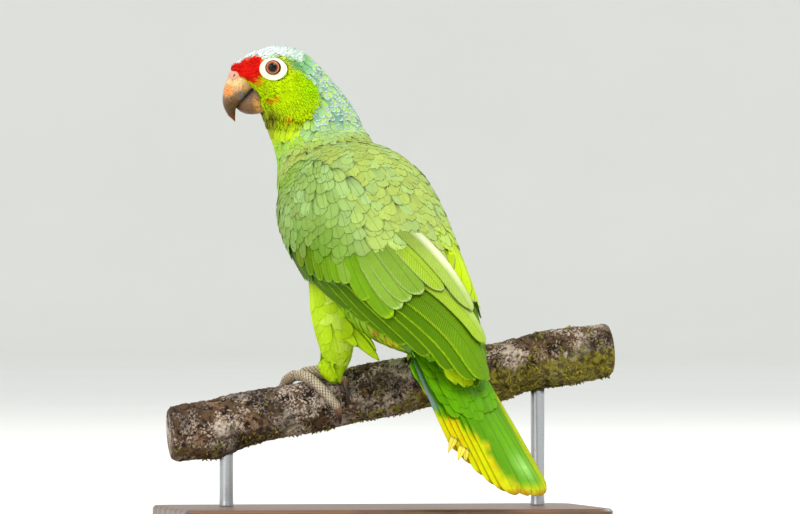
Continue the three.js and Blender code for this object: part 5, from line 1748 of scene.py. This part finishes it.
def make_wing(side, name, feather_material, core_material):
    """One folded wing: the core, then coats of flights, large coverts and small coverts."""
    surface, flat = mantle_of(side), mantle_of(side, tucked=False)
    core = wing_core(side)
    make_piece(f"wing_{name}_core", core, core_material, (f"wing_{name}",),
               {"tint": all_of(np.append(CORE_GREEN, 1), len(core[0]))}, True)
    seed = WING_SEEDS[side]

    def row(coat, feathers, back, lifts, shape, tint, rim, strength=0.9, **more):
        """A row of vanes; each runs back under the row above by a share of its length."""
        roots, tips, wide = spans(feathers)
        roots = roots - back * (tips - roots)
        full = lambda colour: colour if np.ndim(colour) == 4 else np.broadcast_to(colour, (len(roots), 3))
        place = stack(0.5 + roots[:, 1] / 360, roots[:, 0] / 7)
        vanes(coat, surface, roots, tips, wide, lifts, shape, turn=side, flat=flat, root=place,
              marks=(full(tint), full(rim), strength), **more)

    flights = Coat(f"wing_{name}_flights", seed)
    # painted light: on the right wing the top flights take the lighter lime in place of green
    row(flights, INNER_FLIGHT, 0.1, (-3.2, -2.2), FLIGHT_VANE, FLIGHT_TOP if side > 0 else RIGHT_WING_LIT,
        LIME_RIM, tilt=-0.3, rims=(1, 1, 0.3))
    row(flights, FLIGHTS, 0.2, (-2.9, -1.7), FLIGHT_VANE,
        np.array([FLIGHT] * 7 + [FLIGHT_TOP if side > 0 else RIGHT_WING_LIT]),
        np.array([LIME_RIM] * 8), 0.75, tilt=-0.45, stagger=0.13, rims=(1, 0.8, 0),
        wave=np.array([0.1] * 6 + [0.5, 1]))
    flights.write(feather_material, "wing_feathers")

    coverts = Coat(f"wing_{name}_coverts", seed + 1)
    row(coverts, EDGE_COVERTS, 0.2, (-2.4, -1.2), COVERT, EDGE_DARK, EDGE_GREEN, tilt=-0.3,
        rims=(1, 0.8, 0.2))
    # painted highlight: a cream band along the tertials' inner edge, strongest on the left wing's second
    # tertial and faint on the right wing
    across = step(FLIGHT_VANE.c, -0.1, 0.6)[None, :] * (1 - 0.8 * step(FLIGHT_VANE.s, 0.5, 0.95))[:, None]
    # painted light: the right wing's second tertial in the lighter lime
    over = np.array([TERTIAL_LIME, TERTIAL if side > 0 else RIGHT_WING_LIT])[:, None, None]
    over = blend(over, TERTIAL_HIGHLIGHT, across * np.array([0.25, 1.0])[:, None, None] * (0.9 if side > 0 else 0.3))
    row(coverts, TERTIALS, 0.25, (-1.7, 0.5), FLIGHT_VANE, over, np.array([YELLOW_TIP, YELLOW_TIP]), 0.6,
        tilt=-0.3, stagger=0.5, rims=(0.5, 0.7, 0.9), wave=np.array([0.9, 0.5]))
    tints = np.array([GREATER_OLIVE, GREATER, GREATER, GREATER_GREEN, GREATER_GREEN, GREATER_GREY,
                      GREATER_GREEN, GREATER_GREEN, GREATER_GREY, GREATER_GREY, GREATER_GREY, TERTIAL_LIME])
    # painted light: the right wing's inner greater coverts in the lighter lime
    if side < 0:
        tints[7:] = RIGHT_WING_LIT
    row(coverts, GREATER_COVERTS, 0.45, (-2.2, -0.1), COVERT, tints,
        np.array([LIME_RIM] * 8 + [PALE_RIM] * 4), 0.7, tilt=-0.4, stagger=0.07, rims=(1, 1, 0.2),
        wave=np.array([0.1] * 7 + [0.3, 0.2, 0.3, 0.4, 0.9]))
    coverts.write(feather_material, "wing_feathers")

    def wrapped(t, angle, lift=0.0):
        """The mantle, turned in over the leading edge, at the inner edge and at the wrist."""
        t, angle, lift = arrays(t, angle, lift)
        inner, outer = wing_edges(t)
        q = np.clip((angle - inner) / (outer - inner), 0, 1.08)
        drop = 9.0 * np.clip((q - 0.86) / 0.2, 0, 1) ** 2 * np.clip((4.6 - t) / 2, 0, 1)
        drop = drop + 1.5 * np.clip((0.1 - q) / 0.1, 0, 1) ** 2 + wrist_drop(t)
        return surface(t, angle, lift - drop)

    small = Coat(f"wing_{name}_small_coverts", seed + 3)
    t, angle = covert_places(flat, small.rng)
    gap = wing_gap(t, angle) * small.rng.uniform(0.85, 1.2, len(t))
    length = gap * 2.3
    at, _, along, about = frame_at(wrapped, t, angle)
    keep = t + 0.9 * length / np.linalg.norm(along, axis=-1) < polyline(angle, *COVERTS_END)
    t, angle, gap, length, at, along, about = (v[keep] for v in (t, angle, gap, length, at, along, about))
    # towards the belly on the wing's face, towards the mid-back on the scapulars
    lean = polyline(angle, (0, -0.35), (25, -0.2), (45, 0.05), (65, 0.6), (110, 0.5), (130, 0.1))
    way = unit(along) + lean[:, None] * unit(about)
    n1, n2 = ripple(at, 14, 4), ripple(at, 7, 6)
    tint = blend(LESSER, LESSER_MINT, step(n1 + 0.6 * n2, -0.2, 0.8))
    tint = blend(tint, WRIST, step(-t + 0.1 * n1, -1.35, -1.0) * step(angle, 50, 80))
    tint = blend(tint, MEDIAN_GREY, step(t + 0.15 * n1, 1.8, 2.6) * step(angle, 44, 74))
    tint = blend(tint, MEDIAN, 0.7 * step(t + 0.15 * n1 + (angle - 80) / 60, 2.4, 3.1) * step(angle, 66, 90))
    scapular = blend(SCAPULAR, SCAPULAR_MINT, step(n2 - 0.6 * (t - 1.6), -0.4, 0.6))
    tint = blend(tint, scapular, step(-angle, -52, -36))
    # painted light: the right wing's lower small coverts eased towards the lighter lime
    if side < 0:
        tint = blend(tint, RIGHT_WING_LIT, 0.6 * step(t + 0.1 * n1, 2.0, 3.4))
    rim = blend(PALE_RIM, BACK_RIM, step(-angle, -60, -40))
    root = stack(0.5 + angle / 360, t / 7)
    lay(small, wrapped, t, angle, way, length, gap * 1.55, -1.1, 0.5, LESSER_VANE, (tint, rim, 0.42 + 0 * t),
        root, roll=0.05, outline=-0.2, close=True)
    small.write(feather_material, "wing_feathers")


# ---- tail
TAIL_ROOT = np.array([-64.0, 0, 102])
TAIL_SLOPE = math.radians(47.5)
TAIL_DOWN = np.array([-math.cos(TAIL_SLOPE), 0, -math.sin(TAIL_SLOPE)])
TAIL_UP = np.array([-math.sin(TAIL_SLOPE), 0, math.cos(TAIL_SLOPE)])
TAIL_TIPS_LEFT = [[110.5, 1.5], [107, 5.5], [101.5, 9], [93.5, 12.8], [84, 16.5], [74, 20]]
TAIL_TIPS_RIGHT = [[111, -6.5], [110.5, -13], [109.5, -17.5], [107.5, -20.5], [104, -22.5], [97, -23.2]]
# Frayed barbs: root and tip, down and left, and width.
TAIL_SPIKES = [(64, 21, 76, 31, 5.5), (71, 18.5, 82, 27, 5.5), (73, 18, 82.5, 22, 5.5)]
TAIL_CORE = [[-4, 19, -9, 3], [18, 18, -8, 2], [40, 14, -4.5, 0.5], [60, 9, -2.2, -0.4]]
tail_plane = plane_of(TAIL_ROOT, TAIL_DOWN, TAIL_UP)


def tail_core_point(s, angle, lift):
    """The tail's fleshy root: an oval section that thins from the rump to an edge."""
    s, angle, lift = arrays(s, angle, lift)
    down, half, low, high = np.moveaxis(smooth(TAIL_CORE, s), -1, 0)
    f = np.radians(angle)
    return tail_plane(down, (half + lift) * np.cos(f),
                      (low + high) / 2 + ((high - low) / 2 + lift) * np.sin(f))


def tail_markings(down, left, s):
    """The tail from above by place: green, yellow over its left and lower part, a blue-grey
    outer edge higher up, a lime right edge, a teal patch, and a brown-orange fringe."""
    points = tail_plane(down, left)
    n = ripple(points, 9, 71)
    streak = ripple(points * [1, 1, 0.2] + left[..., None] * [3.0, 0, 0], 12, 72)
    tint = blend(TAIL, TAIL_BRIGHT, step(-left + 6 * n + 3 * streak, -2, 12))
    tint = blend(tint, TAIL_DARK, 0.7 * step(left + 3 * streak, -4, 6) * step(down, 40, 60))
    tint = blend(tint, TAIL_TEAL, blot(down, left, 89, -15, 8, 5))
    border = polyline(down, (30, 40), (44, 25), (50, 17), (62, 7.5), (75, 4), (86, 4), (97, 3.5), (104, -2),
                      (110, -16))
    yellow = step(left - border + 1.5 * n + 2.5 * streak, -2.5, 3)
    tint = blend(tint, blend(TAIL_YELLOW, TAIL_GOLD, step(streak, 0, 1)), yellow)
    tint = blend(tint, TAIL_BLUE, step(left, 20, 23) * step(-down, -44, -38) * 0.9)
    tint = blend(tint, TAIL_YELLOW, 0.7 * step(-left, 21.5, 24))
    tint = blend(tint, TAIL_YELLOW, 0.8 * step(s, 0.9, 0.97))
    return blend(tint, TAIL_BROWN, step(s + 0.015 * streak, 0.945, 0.985) * 0.8)


def make_tail(material, core_material):
    """Twelve tail feathers as long vanes, loose long coverts above and below, and the core."""
    s, a = grid(np.linspace(0, 3, 40), circle(40, 360))
    core = shell(tail_core_point(s, a, -0.6))
    make_piece("tail_core", core, core_material, ("tail",),
               {"tint": all_of(np.append(VENT, 1), len(core[0]))}, True)
    coat = Coat("tail_feathers", 90)
    k = np.arange(6)
    wide = 14.8 - 0.7 * k
    for side, tips in ((1, TAIL_TIPS_LEFT), (-1, TAIL_TIPS_RIGHT)):
        tips = np.array(tips, float)
        up = 1.4 - 0.62 * (k + (0 if side > 0 else 0.5))
        roots = stack(np.full(6, 2.0), side * (1.5 + 3.3 * k))
        s, c = TAIL_VANE.s[None, :, None], TAIL_VANE.c[None, None, :]
        at = lambda i: roots[:, i, None, None] * (1 - s) + tips[:, i, None, None] * s + 0 * c
        half = (0.5 * wide[:, None] * TAIL_VANE.half)[..., None]
        tints = tail_markings(at(0), at(1) + side * c * half, s + 0 * at(0))
        vanes(coat, tail_plane, roots, tips, wide, stack(up, up - 0.2 * k), TAIL_VANE, turn=-side,
              tilt=-0.3, stagger=0.0, marks=(tints, all_of(TAIL_GOLD, 6), 0.45), rims=(0, 0.2, 0.9),
              root=stack(0.5 + roots[:, 1] / 100, roots[:, 0] / 120 + 0.1))
    # frayed barbs that stand off the left edge
    roots, tips, wide = spans(TAIL_SPIKES)
    vanes(coat, tail_plane, roots, tips, wide, (-0.9, -0.7), SPIKE,
          (all_of(TAIL_FRAY, len(roots)), all_of(TAIL_GOLD, len(roots)), 0.2), roots / 200 + 0.5)
    coat.write(material, "tail_feathers")

    coverts = Coat("tail_coverts", 91)
    rng = coverts.rng
    for above in (1, -1):
        plane = tail_plane if above > 0 else plane_of(TAIL_ROOT, TAIL_DOWN, -TAIL_UP)
        levels = [3, 2, 0.5, -0.4] if above > 0 else [9, 8, 4.5, 2.2]
        for row, down in enumerate(np.linspace(27, -8, 8)):
            left = np.linspace(-1, 1, 7 - row % 2) * np.interp(down, [-8, 0, 27], [15, 18, 15])
            left = left + rng.normal(size=left.shape) * 1.2
            reach = 23 + rng.normal(size=left.shape) * 3 - 0.018 * left**2
            roots = stack(down + rng.normal(size=left.shape) * 1.2, left)
            tips = stack(roots[:, 0] + reach, left * 0.96 + rng.normal(size=left.shape) * 0.8)
            dome = np.interp(down, [-8, 40], [4.5, 1.5]) * (np.abs(left) / 19) ** 2
            level = lambda at: np.interp(at[:, 0], [-4, 18, 40, 60], levels)
            root_lift, tip_lift = level(roots) + 0.4 - dome, level(tips) + 1.6 - 0.7 * dome
            tint = blend(TAIL, TAIL_BRIGHT if above > 0 else VENT, rng.random(len(left)))
            tint = blend(tint, VENT_YELLOW, 0.7 * (rng.random(len(left)) > 0.75) * (above < 0))
            turned = left if above > 0 else -left
            roots[:, 1], tips[:, 1] = turned, tips[:, 1] * above
            vanes(coverts, plane, roots, tips, rng.uniform(7.5, 10.5, len(left)),
                  stack(root_lift, tip_lift), COVERT, tilt=0.1, stagger=0.05,
                  marks=(tint, all_of(TAIL_TIP, len(left)), 0.35),
                  root=stack(0.25 * (1 + above) + 0.25 + left / 100, 0.1 + roots[:, 0] / 120))
    coverts.write(material, "tail_feathers")


# ---- branch and stand
def make_perch():
    """The branch: round sections along its axis, out by slow bulges, ridged plates and fine
    noise, with both cut ends closed."""
    u = np.linspace(*PERCH_ENDS, 330)[:, None]
    f = circle(150)[None, :]
    smooth_point = beside_perch(u + 0 * f, np.degrees(f) + 0 * u, 0)
    ridges = 1 - np.abs(ripple(smooth_point, 9, 31) + 0.5 * ripple(smooth_point, 4.5, 32))
    grain = ripple(smooth_point, 2.6, 33) + 0.7 * ripple(0.35 * smooth_point, 1.4, 34)
    relief = 0.75 * ridges + 0.22 * grain
    end = np.clip(np.minimum(u - PERCH_ENDS[0], PERCH_ENDS[1] - u) / 3, 0, 1)
    out = bark_round(u, f) - 0.7 + 0.9 * relief * end - 1.2 * (1 - end) ** 2
    # smooth under the toes, so that they rest on it
    for side, centre in FEET.values():
        under = np.exp(-(((u - centre + side * 12) / 16) ** 4)) * np.ones_like(f)
        out = out * (1 - under) + np.minimum(out, -0.15) * under
    rings = beside_perch(u + 0 * f, np.degrees(f) + 0 * u, out)
    far = step(u, 20, 80)
    moss = (0.6 + 0.4 * far) * (0.35 * far + 0.65 * step(-np.cos(f), -0.3, 0.6)) + 0 * relief
    mark = stack(relief, moss, 0 * relief).reshape(-1, 3)
    mark = np.vstack([mark, [[0.3, 0, 0], [0.3, 0, 0]]])
    make_piece("perch_branch", shell(rings), bark_material(), ("perch",), {"bark": mark}, True)


def make_moss(material):
    """Tufts of small pointed leaves on the branch's far end, hanging below it: closed lens
    vanes from random places, weighted to the underside."""
    coat = Coat("moss_tufts", 95)
    rng = coat.rng
    n = MOSS_LEAVES
    u = PERCH_ENDS[0] + 12 + (PERCH_ENDS[1] - PERCH_ENDS[0] - 16) * rng.random(n) ** 0.62
    angle = 180 + rng.normal(size=n) * 62
    surface = lambda t, a, lift=0.0: beside_perch(t, a, np.asarray(lift) + bark_round(t, np.radians(a)) - 0.6)
    keep = ripple(surface(u, angle), 16, 35) > -0.1
    for side, centre in FEET.values():
        keep &= ~((np.abs(u - centre + side * 12) < 24) & (from_back(angle) > 30))
    u, angle = u[keep], angle[keep]
    way = rng.normal(size=(len(u), 3)) + [0, 0, -0.8]
    tint = blend(rgb(84, 76, 14), rgb(160, 146, 36), rng.random(len(u)))
    root = stack((angle % 360) / 360, (u - PERCH_ENDS[0]) / (PERCH_ENDS[1] - PERCH_ENDS[0]))
    length = 1.6 + 1.8 * rng.random(len(u)) * step(u, -60, 60) + 0.4
    lay(coat, surface, u, angle, way, length, 0.9 + 0 * u, 0.1, 1.2, FINE,
        (tint, tint * 0.6, 0.2 + 0 * u), root, splay=0.5, roll=0.2)
    coat.write(material, "bark")


# A rod's radius by the height over its foot.
ROD_FLARE = [(0, 4.2), (0.4, 4.25), (1.2, 4.2), (2.2, 4.1), (3.4, 4.03), (5, 4.0)]


def make_stand():
    """The base keeps its own shape with a wood finish. Each rod is a smooth round bar from the
    base's top into the branch's underside, with a flared foot: a radius carried up a line."""
    wood, metal = wood_material(), metal_material()
    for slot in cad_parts["stand_base"].material_slots:
        slot.material = wood
    for name in ("stand_rod_left", "stand_rod_right"):
        low, high = (np.array(v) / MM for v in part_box(name))
        middle = (low + high) / 2
        flare = [low[2] + at for at, _ in ROD_FLARE[:-1]]
        z = np.concatenate([flare, np.linspace(low[2] + ROD_FLARE[-1][0], high[2], 14)])
        radius = polyline(z - low[2], *ROD_FLARE)
        f = circle(48)
        rings = stack(middle[0] + radius[:, None] * np.cos(f), middle[1] + radius[:, None] * np.sin(f),
                          z[:, None] + 0 * f)
        make_piece(name + "_bar", shell(rings), metal, (name,))


# ---- assembly
make_camera()
make_studio()
plumage = plumage_material("plumage")
wing_plumage = plumage_material("wing_plumage", barb=0.7, shaft=0.35)
skin = skin_material()
bare = ring_material()
leg_surfaces = {name: leg_surface(*place) for name, place in FEET.items()}
make_skin(list(leg_surfaces.values()))
lay_body(plumage)
lay_legs(leg_surfaces, plumage)
for side, name in ((1, "left"), (-1, "right")):
    make_eye(side, f"eye_{name}")
    make_ring(side, f"eye_ring_{name}", bare)
    make_wing(side, name, wing_plumage, skin)
make_bill()
make_cere()
make_tail(wing_plumage, skin)
scales, claw = foot_material(), claw_material()
for name, (side, centre) in FEET.items():
    make_foot(name, side, centre, scales, claw)
make_perch()
make_moss(moss_material())
make_stand()
